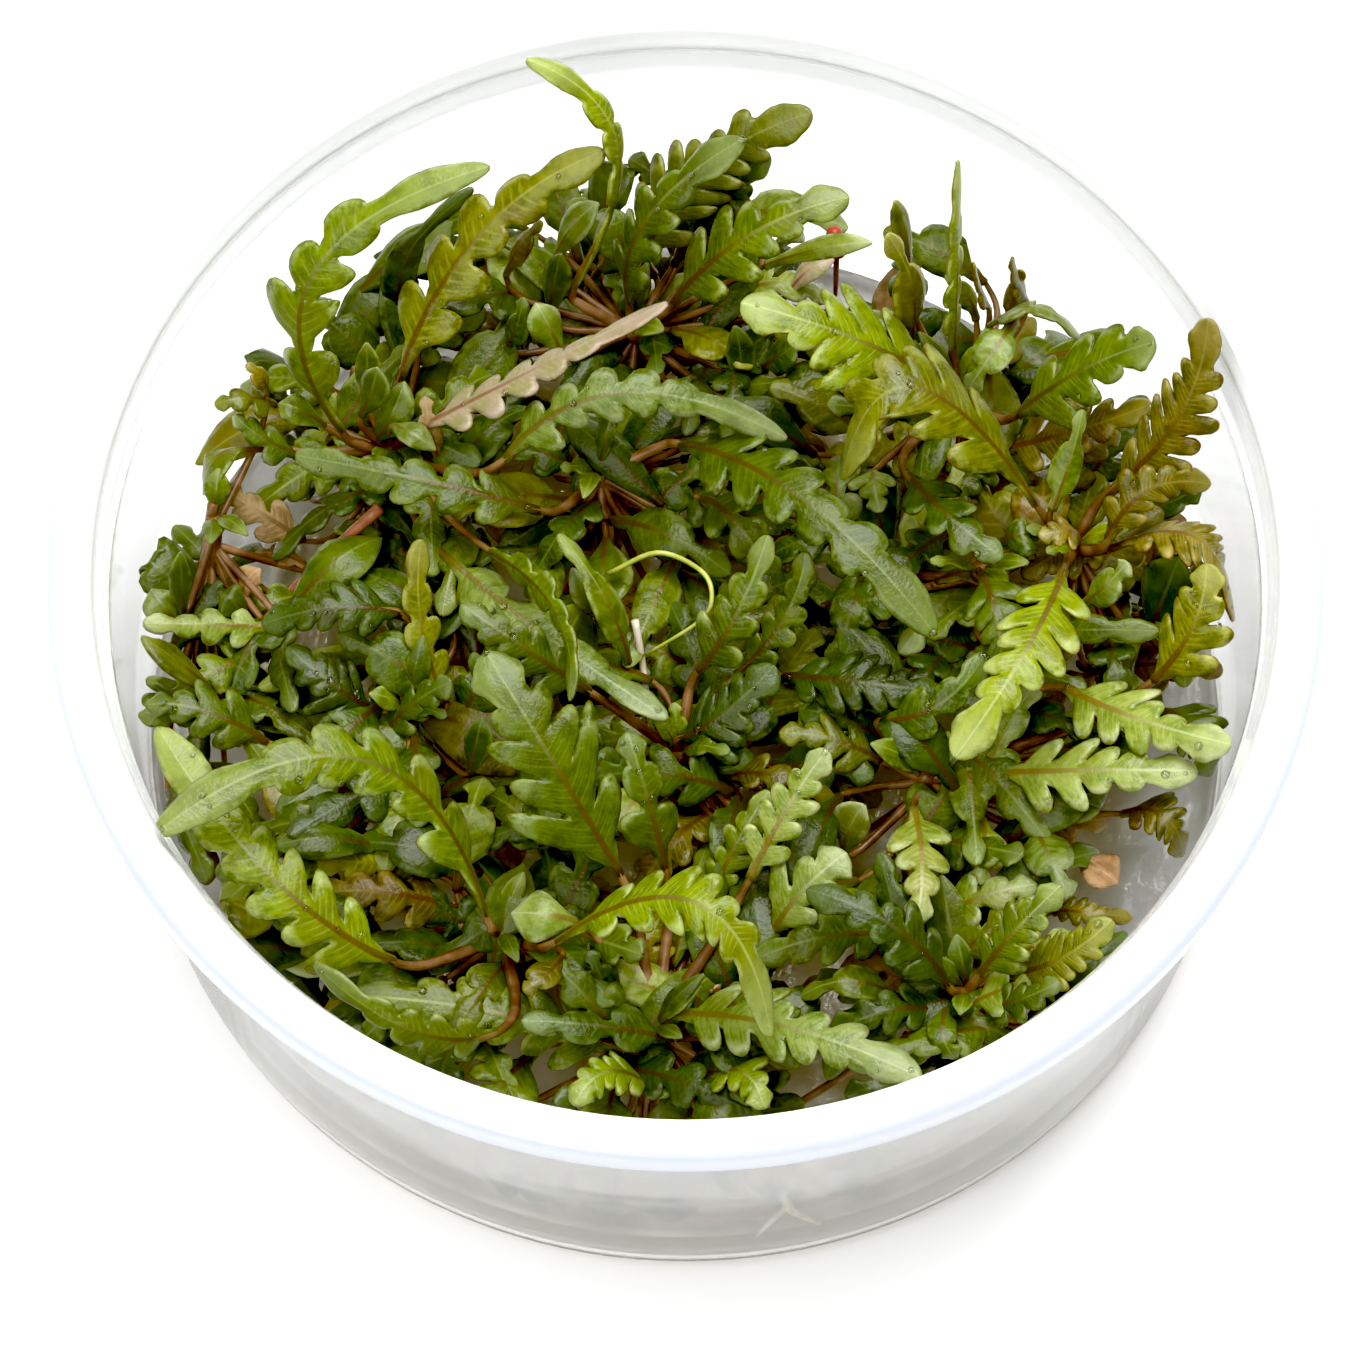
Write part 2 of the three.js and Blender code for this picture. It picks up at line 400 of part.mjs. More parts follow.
// One shoot in one solid: its stem, a stalk to each large leaf, and its small leaves with their stalks
function makeShoot(name, ...places) {
  const stem = new THREE.CatmullRomCurve3(places.map((p) => new THREE.Vector3(...p)));
  const large = LEAVES.filter((leaf) => leaf[1] === name).map(([, , ...blade]) => ({ large: true, blade }));
  const small = SMALL_LEAVES.filter((leaf) => leaf[0] === name).map(([, ...blade]) => ({ blade }));
  const leaves = [...large, ...small].sort((a, b) => a.blade[0][2] - b.blade[0][2]);
  let shoot = toSolid(makeTube(places, STEM_RADIUS, STEM_SIDES, STEM_STEPS));
  leaves.forEach((leaf, order) => {
    const [start, middle, tip, half, pairs, turn] = leaf.blade;
    const root = stalkRoot(stem, order / Math.max(1, leaves.length - 1), start);
    const lobes = half >= LOBED_FROM ? Math.min(pairs, MOST_SMALL_LOBES) : 0;
    const piece = leaf.large
      ? makeStalk(root, start, middle, tip)
      : makeBlade(start, middle, tip, half, lobes, turn, turn, root);
    shoot = shoot.add(toSolid(piece));
  });
  return shoot;
}

// The stems' sockets in the gel, a little wider than the stems
function makeSockets() {
  const sockets = SHOOTS.map(([, ...places]) => {
    const foot = [places[0][0], places[0][1], places[0][2] - GAP];
    return toSolid(makeTube([foot, ...places.slice(1)], STEM_RADIUS + GAP, STEM_SIDES, STEM_STEPS));
  });
  return sockets.reduce((all, socket) => all.add(socket));
}

function makeMesh(name, geometry, colour, finish) {
  const { roughness, opacity } = FINISHES[finish];
  const material = new THREE.MeshStandardMaterial({ color: COLOURS[colour], roughness, opacity });
  material.transparent = opacity < 1;
  const mesh = new THREE.Mesh(geometry, material);
  mesh.name = name;
  return mesh;
}

const group = new THREE.Group();
group.add(makeMesh('cup', toGeometry(toSolid(makeCup())), 'clear', 'cup'));
group.add(makeMesh('gel', toGeometry(toSolid(makeGel()).subtract(makeSockets())), 'gel', 'gel'));
for (const shoot of SHOOTS) {
  group.add(makeMesh(`${shoot[0]}_shoot`, toGeometry(makeShoot(...shoot)), 'stem', 'stem'));
}
for (const [name, , start, middle, tip, half, pairs, turnStart, turnTip, tone] of LEAVES) {
  const blade = makeBlade(start, middle, tip, half, pairs, turnStart, turnTip);
  group.add(makeMesh(`leaf_${name}`, toGeometry(toSolid(blade)), tone, 'leaf'));
}

export default group;
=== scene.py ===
# %% [markdown]
# # Water plants in their culture cup
#
# The object is a round clear plastic cup with a flared white rim. A layer of set agar fills its foot, and
# young shoots of a water plant with comb-like leaves grow out of the agar and crowd the cup up to its rim.
#
# The solid model gives every large piece its place: the cup, the gel, thirteen shoots and forty-four large
# leaves. Here each of them gets the surface that the eye sees. A leaf could be sculpted by hand or cut out of
# a picture, but all leaves of one plant follow one plan, so this lesson bends one flat grid into every leaf.

# %% Frame and tools
import itertools
import json
import math
import random

import bmesh
import bpy
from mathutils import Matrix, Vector, noise


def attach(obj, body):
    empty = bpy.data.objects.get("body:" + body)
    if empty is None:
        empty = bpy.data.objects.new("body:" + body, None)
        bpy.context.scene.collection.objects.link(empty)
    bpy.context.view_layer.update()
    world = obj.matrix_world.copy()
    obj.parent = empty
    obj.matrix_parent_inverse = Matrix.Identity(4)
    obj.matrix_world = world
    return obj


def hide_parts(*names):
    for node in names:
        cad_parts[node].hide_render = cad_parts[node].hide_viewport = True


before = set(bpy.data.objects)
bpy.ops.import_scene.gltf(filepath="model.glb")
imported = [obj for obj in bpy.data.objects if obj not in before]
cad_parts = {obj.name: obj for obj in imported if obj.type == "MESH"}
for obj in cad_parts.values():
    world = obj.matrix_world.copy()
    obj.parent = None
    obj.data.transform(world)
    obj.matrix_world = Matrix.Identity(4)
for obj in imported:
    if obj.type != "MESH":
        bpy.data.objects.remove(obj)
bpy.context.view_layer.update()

MM = 0.001
random.seed(41)

# %% [markdown]
# ## Camera, light and ground
#
# The camera stands where the photograph was taken from: far away with a long lens, looking down steeply. One
# large soft light hangs behind the cup and a weaker one fills from the front, so the leaves' wet faces catch
# a sheen and the cup throws one soft shadow towards the viewer.

# %% Camera
CAMERA_ELEVATION = math.radians(65.824)
CAMERA_DISTANCE = 0.61868
LENS, SENSOR = 210.5, 36
NEAREST = 0.01
LOOK_AT = Vector((-0.0001, -0.01078, 0.0411))


def set_camera():
    camera = bpy.data.objects.new("camera", bpy.data.cameras.new("camera"))
    bpy.context.scene.collection.objects.link(camera)
    back = Vector((0, -math.cos(CAMERA_ELEVATION), math.sin(CAMERA_ELEVATION)))
    camera.location = LOOK_AT + CAMERA_DISTANCE * back
    camera.rotation_euler = (math.pi / 2 - CAMERA_ELEVATION, 0, 0)
    camera.data.lens = LENS
    camera.data.sensor_width = SENSOR
    camera.data.clip_start = NEAREST
    bpy.context.scene.camera = camera
    return camera


print("camera at", [round(v, 3) for v in set_camera().location])

# %% Light
LIGHTS = (("key_light", (0.12, 0.40, 0.88), 0.7, 11.5), ("fill_light", (-0.35, -0.45, 0.9), 0.8, 5.6))
LIT_PLACE = Vector((0, 0, 0.02))
SKY_STRENGTH = 0.58
EXPOSURE = 0.35
BLACK_LEVEL = (0.015, 0.018, 0.035)


def add_light(name, place, size, power):
    light = bpy.data.lights.new(name, "AREA")
    light.size = size
    light.energy = power
    lamp = bpy.data.objects.new(name, light)
    bpy.context.scene.collection.objects.link(lamp)
    lamp.location = place
    lamp.rotation_euler = (Vector(place) - LIT_PLACE).to_track_quat("Z", "Y").to_euler()


for row in LIGHTS:
    add_light(*row)
world = bpy.data.worlds.new("studio")
world.use_nodes = True
sky = world.node_tree.nodes["Background"].inputs
sky["Color"].default_value = (1, 1, 1, 1)
sky["Strength"].default_value = SKY_STRENGTH
bpy.context.scene.world = world
view = bpy.context.scene.view_settings
view.view_transform = "Standard"
view.exposure = EXPOSURE
view.use_curve_mapping = True
view.curve_mapping.black_level = BLACK_LEVEL
print(len(LIGHTS), "lights and a white sky")

# %% [markdown]
# ## Materials
#
# Every material starts from the real stuff: polypropylene for the cup, agar for the gel, and leaf tissue in
# the tones that the plants show, from bright young green to bronze. A leaf's own attributes say how far a
# point lies from the midrib, from the nearest side vein and from the edge, so its veins and rim follow the
# blade however it bends. One function adds any node.
#
# An effect that sets in over a stretch has a row of its own: what it depends on, where it starts, where it is
# full, and its strength at both ends if that isn't 0 and 1.

# %% Node helper and colours
FACTOR, FIRST, SECOND, MIXED = 0, 6, 7, 2
FIRST_VALUE, SECOND_VALUE = 2, 3
SOFT = {"interpolation_type": "SMOOTHSTEP"}
TINT = {"data_type": "RGBA"}
NOISE = ("Vector", "Scale", "Detail", "Roughness")
RANGE = ("Value", "From Min", "From Max", "To Min", "To Max")


def linear(hex_colour):
    values = []
    for k in (0, 2, 4):
        c = int(hex_colour[k:k + 2], 16) / 255
        values.append(c / 12.92 if c <= 0.04045 else ((c + 0.055) / 1.055) ** 2.4)
    return (*values, 1)


def add(tree, kind, inputs, output=0, **settings):
    """Adds one node with its settings, fills its inputs with values or other nodes' outputs."""
    node = tree.nodes.new("ShaderNode" + kind)
    for key, value in settings.items():
        setattr(node, key, value)
    for key, value in inputs.items():
        if isinstance(value, bpy.types.NodeSocket):
            tree.links.new(value, node.inputs[key])
        else:
            node.inputs[key].default_value = value
    return node.outputs[output] if node.outputs else None


def new_material(name):
    material = bpy.data.materials.new(name)
    material.use_nodes = True
    material.node_tree.nodes.clear()
    return material, material.node_tree


# %% Leaf tissue
MOTTLE, GRAIN, PATCHES = (620, 4, 0.6), (3400, 2), (150, 2)  # spots a metre, octaves, roughness
LAYERS = ("across", "rib", "vein", "reach", "shade")
LANES, LEAVES_APART = 7, 20
STREAKS_SHARE = 0.35
SECOND_VEIN = 0.52
MIDRIB_HALF_WIDTH = (0.3, 0.06)
RIB_LIGHT = 0.4
DARKEST, BRIGHTEST = 0.42, 0.88
HUES = (0.508, 0.49)
GRAIN_RELIEF = 0.35
GLOSS_SPREAD = 0.12


def leaf_material(name, dark, main, light, vein, rim, veins=0.13, roughness=0.31, sheen=0.04):
    """Leaf tissue with a waxy skin: mottled, with painted sheen at the lobe tips, a brown midrib and a thin
    rim.
    """
    material, tree = new_material(name)
    place = add(tree, "TexCoord", {}, "Object")
    across, rib, side_vein, reach, shade = [
        add(tree, "Attribute", {}, "Fac", attribute_name=key) for key in LAYERS]
    mottle, grain, patches = [
        add(tree, "TexNoise", dict(zip(NOISE, (place, *row)))) for row in (MOTTLE, GRAIN, PATCHES)]
    lanes = add(tree, "Math", {0: side_vein, 1: LANES}, operation="MULTIPLY")
    own = add(tree, "Math", {0: shade, 1: LEAVES_APART}, operation="MULTIPLY")
    lane_place = add(tree, "CombineXYZ", {"X": lanes, "Y": rib, "Z": own})
    streaks = add(tree, "TexNoise", {"Vector": lane_place, "Scale": 1, "Detail": 2})
    grown = add(tree, "Mix", {FACTOR: STREAKS_SHARE, FIRST_VALUE: mottle, SECOND_VALUE: streaks}, 0)
    edge = add(tree, "Math", {0: across}, operation="ABSOLUTE")
    second = add(tree, "Math", {0: side_vein, 1: SECOND_VEIN}, operation="SUBTRACT")
    second = add(tree, "Math", {0: second}, operation="ABSOLUTE")
    off_vein = add(tree, "Math", {0: side_vein, 1: second}, operation="MINIMUM")
    half_rib = add(tree, "MapRange", dict(zip(RANGE, (reach, 0, 0.9, *MIDRIB_HALF_WIDTH))))
    off_rib = add(tree, "Math", {0: rib, 1: half_rib}, operation="DIVIDE")

    effects = {
        "lively": (grown, 0.38, 0.6),
        "worn": (patches, 0.5, 0.72, 0, 0.45),
        # Painted sheen: the lobe edges turn light in mottled spots, as if they caught the light.
        "outer": (edge, 0.62, 0.98),
        "sheen_spots": (mottle, 0.38, 0.6, 0, 0.7),
        # The leaf's end turns lighter: partly young tissue, partly painted sheen.
        "end": (reach, 0.7, 1, 0, 0.4),
        "near_vein": (off_vein, 0.1, 0.02, 0, veins),
        "near_rib": (edge, 0.8, 0.2),
        "green_rib": (reach, 0.25, 0.8),
        "on_rib": (off_rib, 1.3, 0.6, 0, 0.85),
        "on_rim": (edge, 0.95, 0.995, 0, 0.65),
    }
    part = {key: add(tree, "MapRange", dict(zip(RANGE, row)), **SOFT) for key, row in effects.items()}
    # painted sheen on the lobe tips
    tips = add(tree, "Math", {0: part["outer"], 1: part["sheen_spots"]}, operation="MULTIPLY")
    on_vein = add(tree, "Math", {0: part["near_vein"], 1: part["near_rib"]}, operation="MULTIPLY")

    colour = linear(dark)
    for amount, tint in ((part["lively"], main), (part["worn"], rim), (tips, light), (part["end"], light),
                         (on_vein, light)):
        colour = add(tree, "Mix", {FACTOR: amount, FIRST: colour, SECOND: linear(tint)}, MIXED, **TINT)
    green_rib = add(tree, "Mix", {FACTOR: RIB_LIGHT, FIRST: colour, SECOND: linear(light)}, MIXED, **TINT)
    rib_colour = add(tree, "Mix", {FACTOR: part["green_rib"], FIRST: linear(vein), SECOND: green_rib}, MIXED,
                     **TINT)
    for amount, tint in ((part["on_rib"], rib_colour), (part["on_rim"], linear(rim))):
        colour = add(tree, "Mix", {FACTOR: amount, FIRST: colour, SECOND: tint}, MIXED, **TINT)

    value = add(tree, "MapRange", {"Value": shade, "To Min": DARKEST, "To Max": BRIGHTEST})
    hue = add(tree, "MapRange", {"Value": shade, "To Min": HUES[0], "To Max": HUES[1]})
    colour = add(tree, "HueSaturation", {"Color": colour, "Value": value, "Hue": hue})
    fine = add(tree, "Math", {0: grain, 1: GRAIN_RELIEF}, operation="MULTIPLY")
    relief = add(tree, "Math", {0: mottle, 1: fine}, operation="ADD")
    bump = add(tree, "Bump", {"Height": relief, "Strength": 0.3, "Distance": 0.0004})
    gloss = add(tree, "MapRange", {"Value": mottle, "To Min": roughness - GLOSS_SPREAD,
                                   "To Max": roughness + GLOSS_SPREAD})
    skin = add(tree, "BsdfPrincipled", {
        "Base Color": colour, "Roughness": gloss, "Normal": bump, "IOR": 1.38, "Sheen Weight": sheen,
        "Sheen Roughness": 0.4})
    add(tree, "OutputMaterial", {"Surface": skin})
    return material


# The light colour tints the veins and the midrib's far part, and also paints the sheen at the lobe tips and
# the leaf's end.
LEAF_COLOURS = {  # dark, main, light, midrib, rim, and for some the veins' strength, roughness and sheen
    "young": ("5c6e0a", "7c8e14", "b8c682", "5e4620", "6e6c1a", 0.2),
    "green": ("425406", "5c6e08", "a0b06e", "5a401a", "565410"),
    "deep": ("2c4004", "445a08", "809460", "4c3416", "403c0c"),
    "olive": ("565c0c", "787c1a", "acb064", "5c401c", "6e5a20", 0.2),
    "bronze": ("504c10", "786e28", "a89e58", "5c381c", "703e18", 0.35),
    # The pale tone is partly the leaves' own grey-green and partly painted sheen over whole leaves.
    "pale": ("64782a", "8a9a4a", "c0ca9c", "74602c", "807a38"),
    "underside": ("a09c64", "b9a488", "ddccb8", "905a48", "9a7054"),
    "withered": ("846240", "ac8e64", "ccb08a", "6a4a30", "6a4a30", 0.3, 0.7, 0),
    "back": ("687448", "889060", "b4b88c", "8c6048", "74603c", 0.25, 0.5, 0.1),
}
TONES = {tone: leaf_material("leaf_tissue_" + tone, *row) for tone, row in LEAF_COLOURS.items()}
BACK_OF_LEAF = TONES.pop("back")
print(len(LEAF_COLOURS), "leaf materials")

# %% Stems, roots, cup and gel
def stem_material(name, dark, light, far_end, roughness):
    """A fleshy stem with streaks, which takes on another colour towards the far end of a stalk."""
    material, tree = new_material(name)
    place = add(tree, "TexCoord", {}, "Object")
    streaks = add(tree, "TexNoise", {"Vector": place, "Scale": 420, "Detail": 5})
    along = add(tree, "Attribute", {}, "Fac", attribute_name="along")
    colour = linear(dark)
    for row, tint in (((streaks, 0.35, 0.7), light), ((along, 0.3, 0.85), far_end)):
        amount = add(tree, "MapRange", dict(zip(RANGE, row)), **SOFT)
        colour = add(tree, "Mix", {FACTOR: amount, FIRST: colour, SECOND: linear(tint)}, MIXED, **TINT)
    bump = add(tree, "Bump", {"Height": streaks, "Strength": 0.3, "Distance": 0.0003})
    skin = add(tree, "BsdfPrincipled", {"Base Color": colour, "Roughness": roughness, "IOR": 1.4,
                                        "Normal": bump})
    add(tree, "OutputMaterial", {"Surface": skin})
    return material


def cup_places(tree):
    """A point's place, how far it stands out from the cup's middle, how far away it lies and its height."""
    place = add(tree, "TexCoord", {}, "Object")
    level = add(tree, "VectorMath", {0: place, 1: (1, 1, 0)}, operation="MULTIPLY")
    from_middle = add(tree, "VectorMath", {0: level}, 1, operation="LENGTH")
    return place, from_middle, *[add(tree, "SeparateXYZ", {0: place}, axis) for axis in (1, 2)]


CLEAR_BY_GEL, CLEAR_ABOVE, CLEAR_IN_FOOT, CLEAR_IN_RIM = 0.99, 0.84, 0.5, 0.2
DAMP_BANDS, DAMP_UNEVEN = (60, 60, 700), 0.01


def plastic_material():
    """Thin polypropylene: clear beside the gel, hazy with damp above it, nearly white in the thick rim, with
    a painted grey shade line on the outer lip.
    """
    material, tree = new_material("polypropylene_clear")
    place, from_middle, _, height = cup_places(tree)
    haze = add(tree, "TexNoise", {"Vector": place, "Scale": 60, "Detail": 3})
    rough = add(tree, "MapRange", {"Value": haze, "To Min": 0.08, "To Max": 0.2})
    bump = add(tree, "Bump", {"Height": haze, "Strength": 0.06, "Distance": 0.001})
    squeezed = add(tree, "VectorMath", {0: place, 1: DAMP_BANDS}, operation="MULTIPLY")
    bands = add(tree, "TexNoise", {"Vector": squeezed, "Scale": 1, "Detail": 3})
    damp_edge = add(tree, "Math", {0: bands, 1: DAMP_UNEVEN, 2: height}, operation="MULTIPLY_ADD")
    effects = {
        "damp": (damp_edge, 0.0205, 0.0245, CLEAR_BY_GEL, CLEAR_ABOVE),
        "foot": (height, 0.0016, 0.0006),
        "rim": (from_middle, 0.0459, 0.0466),
        "lip": (height, 0.0412, 0.0405),
        "outer": (from_middle, 0.0484, 0.0488),
    }
    part = {key: add(tree, "MapRange", dict(zip(RANGE, row)), **SOFT) for key, row in effects.items()}
    clear = part["damp"]
    for amount, clearness in ((part["foot"], CLEAR_IN_FOOT), (part["rim"], CLEAR_IN_RIM)):
        clear = add(tree, "Mix", {FACTOR: amount, FIRST_VALUE: clear, SECOND_VALUE: clearness}, 0)
    # Painted shade: a grey-blue line along the outer lip.
    painted_lip_shade = add(tree, "Math", {0: part["lip"], 1: part["outer"]}, operation="MULTIPLY")
    colour = linear("fdfefe")
    for amount, tint in ((part["foot"], "dcc890"), (painted_lip_shade, "c0c5cf")):
        colour = add(tree, "Mix", {FACTOR: amount, FIRST: colour, SECOND: linear(tint)}, MIXED, **TINT)
    skin = add(tree, "BsdfPrincipled", {"Base Color": colour, "Roughness": rough, "IOR": 1.49,
                                        "Transmission Weight": clear, "Normal": bump})
    add(tree, "OutputMaterial", {"Surface": skin})
    return material


def gel_material():
    """Set agar, wet and cloudy: beige, its own tint with painted shade under the plants; white near the wall
    except at the front, painted light; olive at its side, painted shade.
    """
    material, tree = new_material("agar_gel")
    place, from_middle, away, height = cup_places(tree)
    cloud = add(tree, "TexNoise", {"Vector": place, "Scale": 160, "Detail": 5})
    effects = {
        "cloudy": (cloud, 0.35, 0.65),
        "by_wall": (from_middle, 0.033, 0.040),
        "behind": (away, -0.035, -0.028),
        # Painted shade: the gel's side below its top turns olive.
        "below": (height, 0.0084, 0.0079),
    }
    part = {key: add(tree, "MapRange", dict(zip(RANGE, row)), **SOFT) for key, row in effects.items()}
    # Beige is the agar's tint with painted shade under the plants; white is painted light.
    beige_and_shade, lit_white = [
        add(tree, "Mix", {FACTOR: part["cloudy"], FIRST: linear(dark), SECOND: linear(light)}, MIXED, **TINT)
        for dark, light in (("b8a684", "ece2c8"), ("dcdcd4", "f8f8f6"))]
    # Painted light: white near the wall, except at the front.
    white = add(tree, "Math", {0: part["by_wall"], 1: part["behind"]}, operation="MULTIPLY")
    colour = beige_and_shade
    # painted shade: olive on the gel's side
    for amount, tint in ((white, lit_white), (part["below"], linear("706c40"))):
        colour = add(tree, "Mix", {FACTOR: amount, FIRST: colour, SECOND: tint}, MIXED, **TINT)
    bump = add(tree, "Bump", {"Height": cloud, "Strength": 0.5, "Distance": 0.0012})
    skin = add(tree, "BsdfPrincipled", {"Base Color": colour, "Roughness": 0.08, "IOR": 1.34,
                                        "Transmission Weight": 0.3, "Normal": bump})
    add(tree, "OutputMaterial", {"Surface": skin})
    return material


def water_material():
    """Clean water in small drops."""
    material, tree = new_material("water")
    skin = add(tree, "BsdfPrincipled", {"Base Color": linear("ffffff"), "Roughness": 0.02, "IOR": 1.333,
                                        "Transmission Weight": 1})
    add(tree, "OutputMaterial", {"Surface": skin})
    return material


STEM = stem_material("stem_tissue", "4e3220", "86644a", "605426", 0.3)
ROOT = stem_material("root_tissue", "b8a68c", "e6dfd0", "d8cdb8", 0.5)
RED_STEM = stem_material("stem_tissue_red", "6e3a2c", "96604c", "a86a54", 0.3)
BUD = stem_material("bud_skin", "8a2420", "b4463c", "b4463c", 0.3)
TENDRIL = stem_material("tendril_tissue", "8c9440", "b4b868", "c4c680", 0.4)
PLASTIC = plastic_material()
GEL = gel_material()
WATER = water_material()
print("stem, root, tendril, plastic, gel and water materials")

# %% [markdown]
# ## Building blocks
#
# Two shapes make nearly the whole plant. A blade is one flat grid: its rows follow the midrib and its columns
# reach out to the edge, which swells at every lobe and draws in at every notch. A stalk is the same grid
# rolled into a tube. Both are made by bmesh's grid operator and then moved point by point, so no list of
# faces is written out. Lengths are in millimetres until a piece is finished.

# %% Piece helper
LEAF_THICKNESS = 0.24
MERGE = 0.004


def finish_piece(bm, name, materials, nodes):
    """Turns a bmesh in millimetres into a piece that rides on the body and stands for its nodes."""
    bmesh.ops.scale(bm, vec=(MM, MM, MM), verts=bm.verts)
    mesh = bpy.data.meshes.new(name)
    bm.to_mesh(mesh)
    bm.free()
    for material in materials:
        mesh.materials.append(material)
    mesh.polygons.foreach_set("use_smooth", [True] * len(mesh.polygons))
    piece = bpy.data.objects.new(name, mesh)
    bpy.context.scene.collection.objects.link(piece)
    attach(piece, "root")
    if nodes:
        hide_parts(*nodes)
    return piece


def thicken(piece, material_offset=0):
    """Gives the blades of a piece their thickness."""
    modifier = piece.modifiers.new("thickness", "SOLIDIFY")
    modifier.thickness = LEAF_THICKNESS * MM
    modifier.offset = 0
    modifier.material_offset = material_offset


# %% Midrib
def lerp(a, b, t):
    return a + (b - a) * t


class Midrib:
    """The curve that leaves the start, passes the middle point half way and ends at the tip."""

    def __init__(self, start, middle, tip):
        self.start, self.tip = Vector(start), Vector(tip)
        self.control = 2 * Vector(middle) - (self.start + self.tip) / 2
        heading = self.tip - self.start
        self.level = Vector((heading.y, -heading.x, 0)).normalized()

    def point(self, u):
        return (1 - u) ** 2 * self.start + 2 * u * (1 - u) * self.control + u * u * self.tip

    def along(self, u):
        return ((1 - u) * (self.control - self.start) + u * (self.tip - self.control)).normalized()

    def length(self):
        points = [self.point(k / 12) for k in range(13)]
        return sum((b - a).length for a, b in zip(points, points[1:]))

    def axes(self, u, turn):
        along = self.along(u)
        side = (self.level - self.level.dot(along) * along).normalized()
        normal = side.cross(along)
        side = side * math.cos(turn) - normal * math.sin(turn)
        return along, side, side.cross(along)


# %% Blade outline
STALK_WIDTH = 0.35
LOBES_START, LOBES_END = 0.08, 0.74
NARROWEST_REACH = 0.62
NOTCH_AT_BASE, NOTCH_AT_TIP = 0.2, 0.56
ROOM_AT_BASE, ROOM_AT_TIP = 0.76, 0.87
ROUND_SHARE = 0.8
FINGER_LEAN = 0.4
END_LOBE_WIDTH = 0.54
END_LOBE_GROWN = 0.5
END_LOBE_ROUND = 0.3
SCALLOP_DEPTH, SCALLOPS = 0.05, 3.2


def envelope(u):
    """How far the lobes reach at u as a share of the widest."""
    return lerp(NARROWEST_REACH, 1, math.sin(math.pi * min(1, (u + 0.1) / 0.7)))


def lobe_rows(lobe, pairs, half, length, fine, shallow):
    """Rows of one pair of lobes: a notch, then fingers with straight sides and round ends."""
    spread = (LOBES_END - LOBES_START) / pairs
    middle = LOBES_START + spread * (lobe + 0.5)
    reach = half * envelope(middle)
    notch = max(STALK_WIDTH, reach * (shallow + lerp(NOTCH_AT_BASE, NOTCH_AT_TIP, lobe / pairs)))
    side = spread * lerp(ROOM_AT_BASE, ROOM_AT_TIP, lobe / pairs) / 2
    round_end = min(side * length, ROUND_SHARE * (reach - notch))
    rows = [(middle - spread / 2, 0.9 * notch, 1), (middle - side, notch, 1)]
    for k in range(1, fine):
        x = -math.cos(math.pi * k / fine)
        width = reach - round_end * (1 - math.sqrt(1 - x * x) + FINGER_LEAN * x)
        rows.append((middle + x * side, max(notch, width), abs(x)))
    return rows + [(middle + side, notch, 1)]


def plain_rows(half, fine):
    """Rows of a leaf without lobes."""
    shares = [(1 - math.cos(math.pi * k / (2 * fine))) / 2 for k in range(2 * fine + 1)]
    return [(u, max(STALK_WIDTH * (1 - u), half * math.sin(math.pi * u ** 1.2) ** 0.8), 1) for u in shares]


def blade_rows(half, pairs, length, fine, shallow):
    """Rows from start to tip: share of the length, half width, and distance from the lobe's vein, 0 to 1."""
    if pairs == 0:
        return plain_rows(half, fine)
    rows = [(0, STALK_WIDTH, 1), (LOBES_START / 2, STALK_WIDTH, 1)]
    for lobe in range(pairs):
        rows += lobe_rows(lobe, pairs, half, length, fine, shallow)
    narrow = rows[-1][1]
    for k in range(1, 2 * fine + 1):
        end = math.sin(math.pi / 2 * k / (2 * fine))
        grown = min(1, end / END_LOBE_GROWN)
        rounded = math.sqrt(max(0.0, 1 - max(0.0, (end - END_LOBE_ROUND) / (1 - END_LOBE_ROUND)) ** 2))
        scallop = 1 - SCALLOP_DEPTH * math.sin(end * math.pi * SCALLOPS) ** 4
        width = lerp(narrow, half * END_LOBE_WIDTH, grown * grown * (3 - 2 * grown)) * rounded * scallop
        rows.append((lerp(LOBES_END, 1, end), width, 1))
    return rows


# %% Blade
WALL_LOW, WALL_HIGH, MOUTH_RADIUS = (3.2, 43.1), (36, 44.75), 46.6  # wall: height and radius inside
GROWN_HALF_WIDTH = 2.5
SHALLOW_IF_SMALL, SHALLOW_BY_CHANCE = 0.16, 0.14
COLUMN_CROWDING = 1.3
PLAIN_SWEEP, LOBE_SWEEP, SWEEP_GAIN, SWEEP_ENDS = 0.3, 0.5, 0.09, 0.75
UNEVEN = 0.4
LOBE_DROOP = 0.045
LOBE_LIFT, LIFTS_FROM = 0.34, 0.3
RIPPLE = 0.2
ARCH = 0.06
FURL, FURLS_FROM = -0.2, 0.7
RIDGE_AT_BASE, RIDGE_AT_TIP, RIDGE_WIDTH = 0.16, 0.04, 0.3


def press_to_wall(point):
    """Keeps a point inside the cup: what would pass through the wall slides up along it."""
    share = (point.z - WALL_LOW[0]) / (WALL_HIGH[0] - WALL_LOW[0])
    wall = lerp(WALL_LOW[1], WALL_HIGH[1], share) if share < 1 else MOUTH_RADIUS
    flat = math.hypot(point.x, point.y)
    if flat > wall:
        point = Vector((point.x * wall / flat, point.y * wall / flat, point.z + 0.5 * (flat - wall)))
    return point


def sweep(u, q, pairs):
    """How far a lobe leans towards the leaf's tip: more at its end, and no more at the leaf's own tip."""
    if pairs == 0:
        return PLAIN_SWEEP * (1 - u)
    fade = 1 if u <= LOBES_END else max(0.0, 1 - (u - LOBES_END) / (SWEEP_ENDS * (1 - LOBES_END)))
    return (LOBE_SWEEP + SWEEP_GAIN * q) * fade


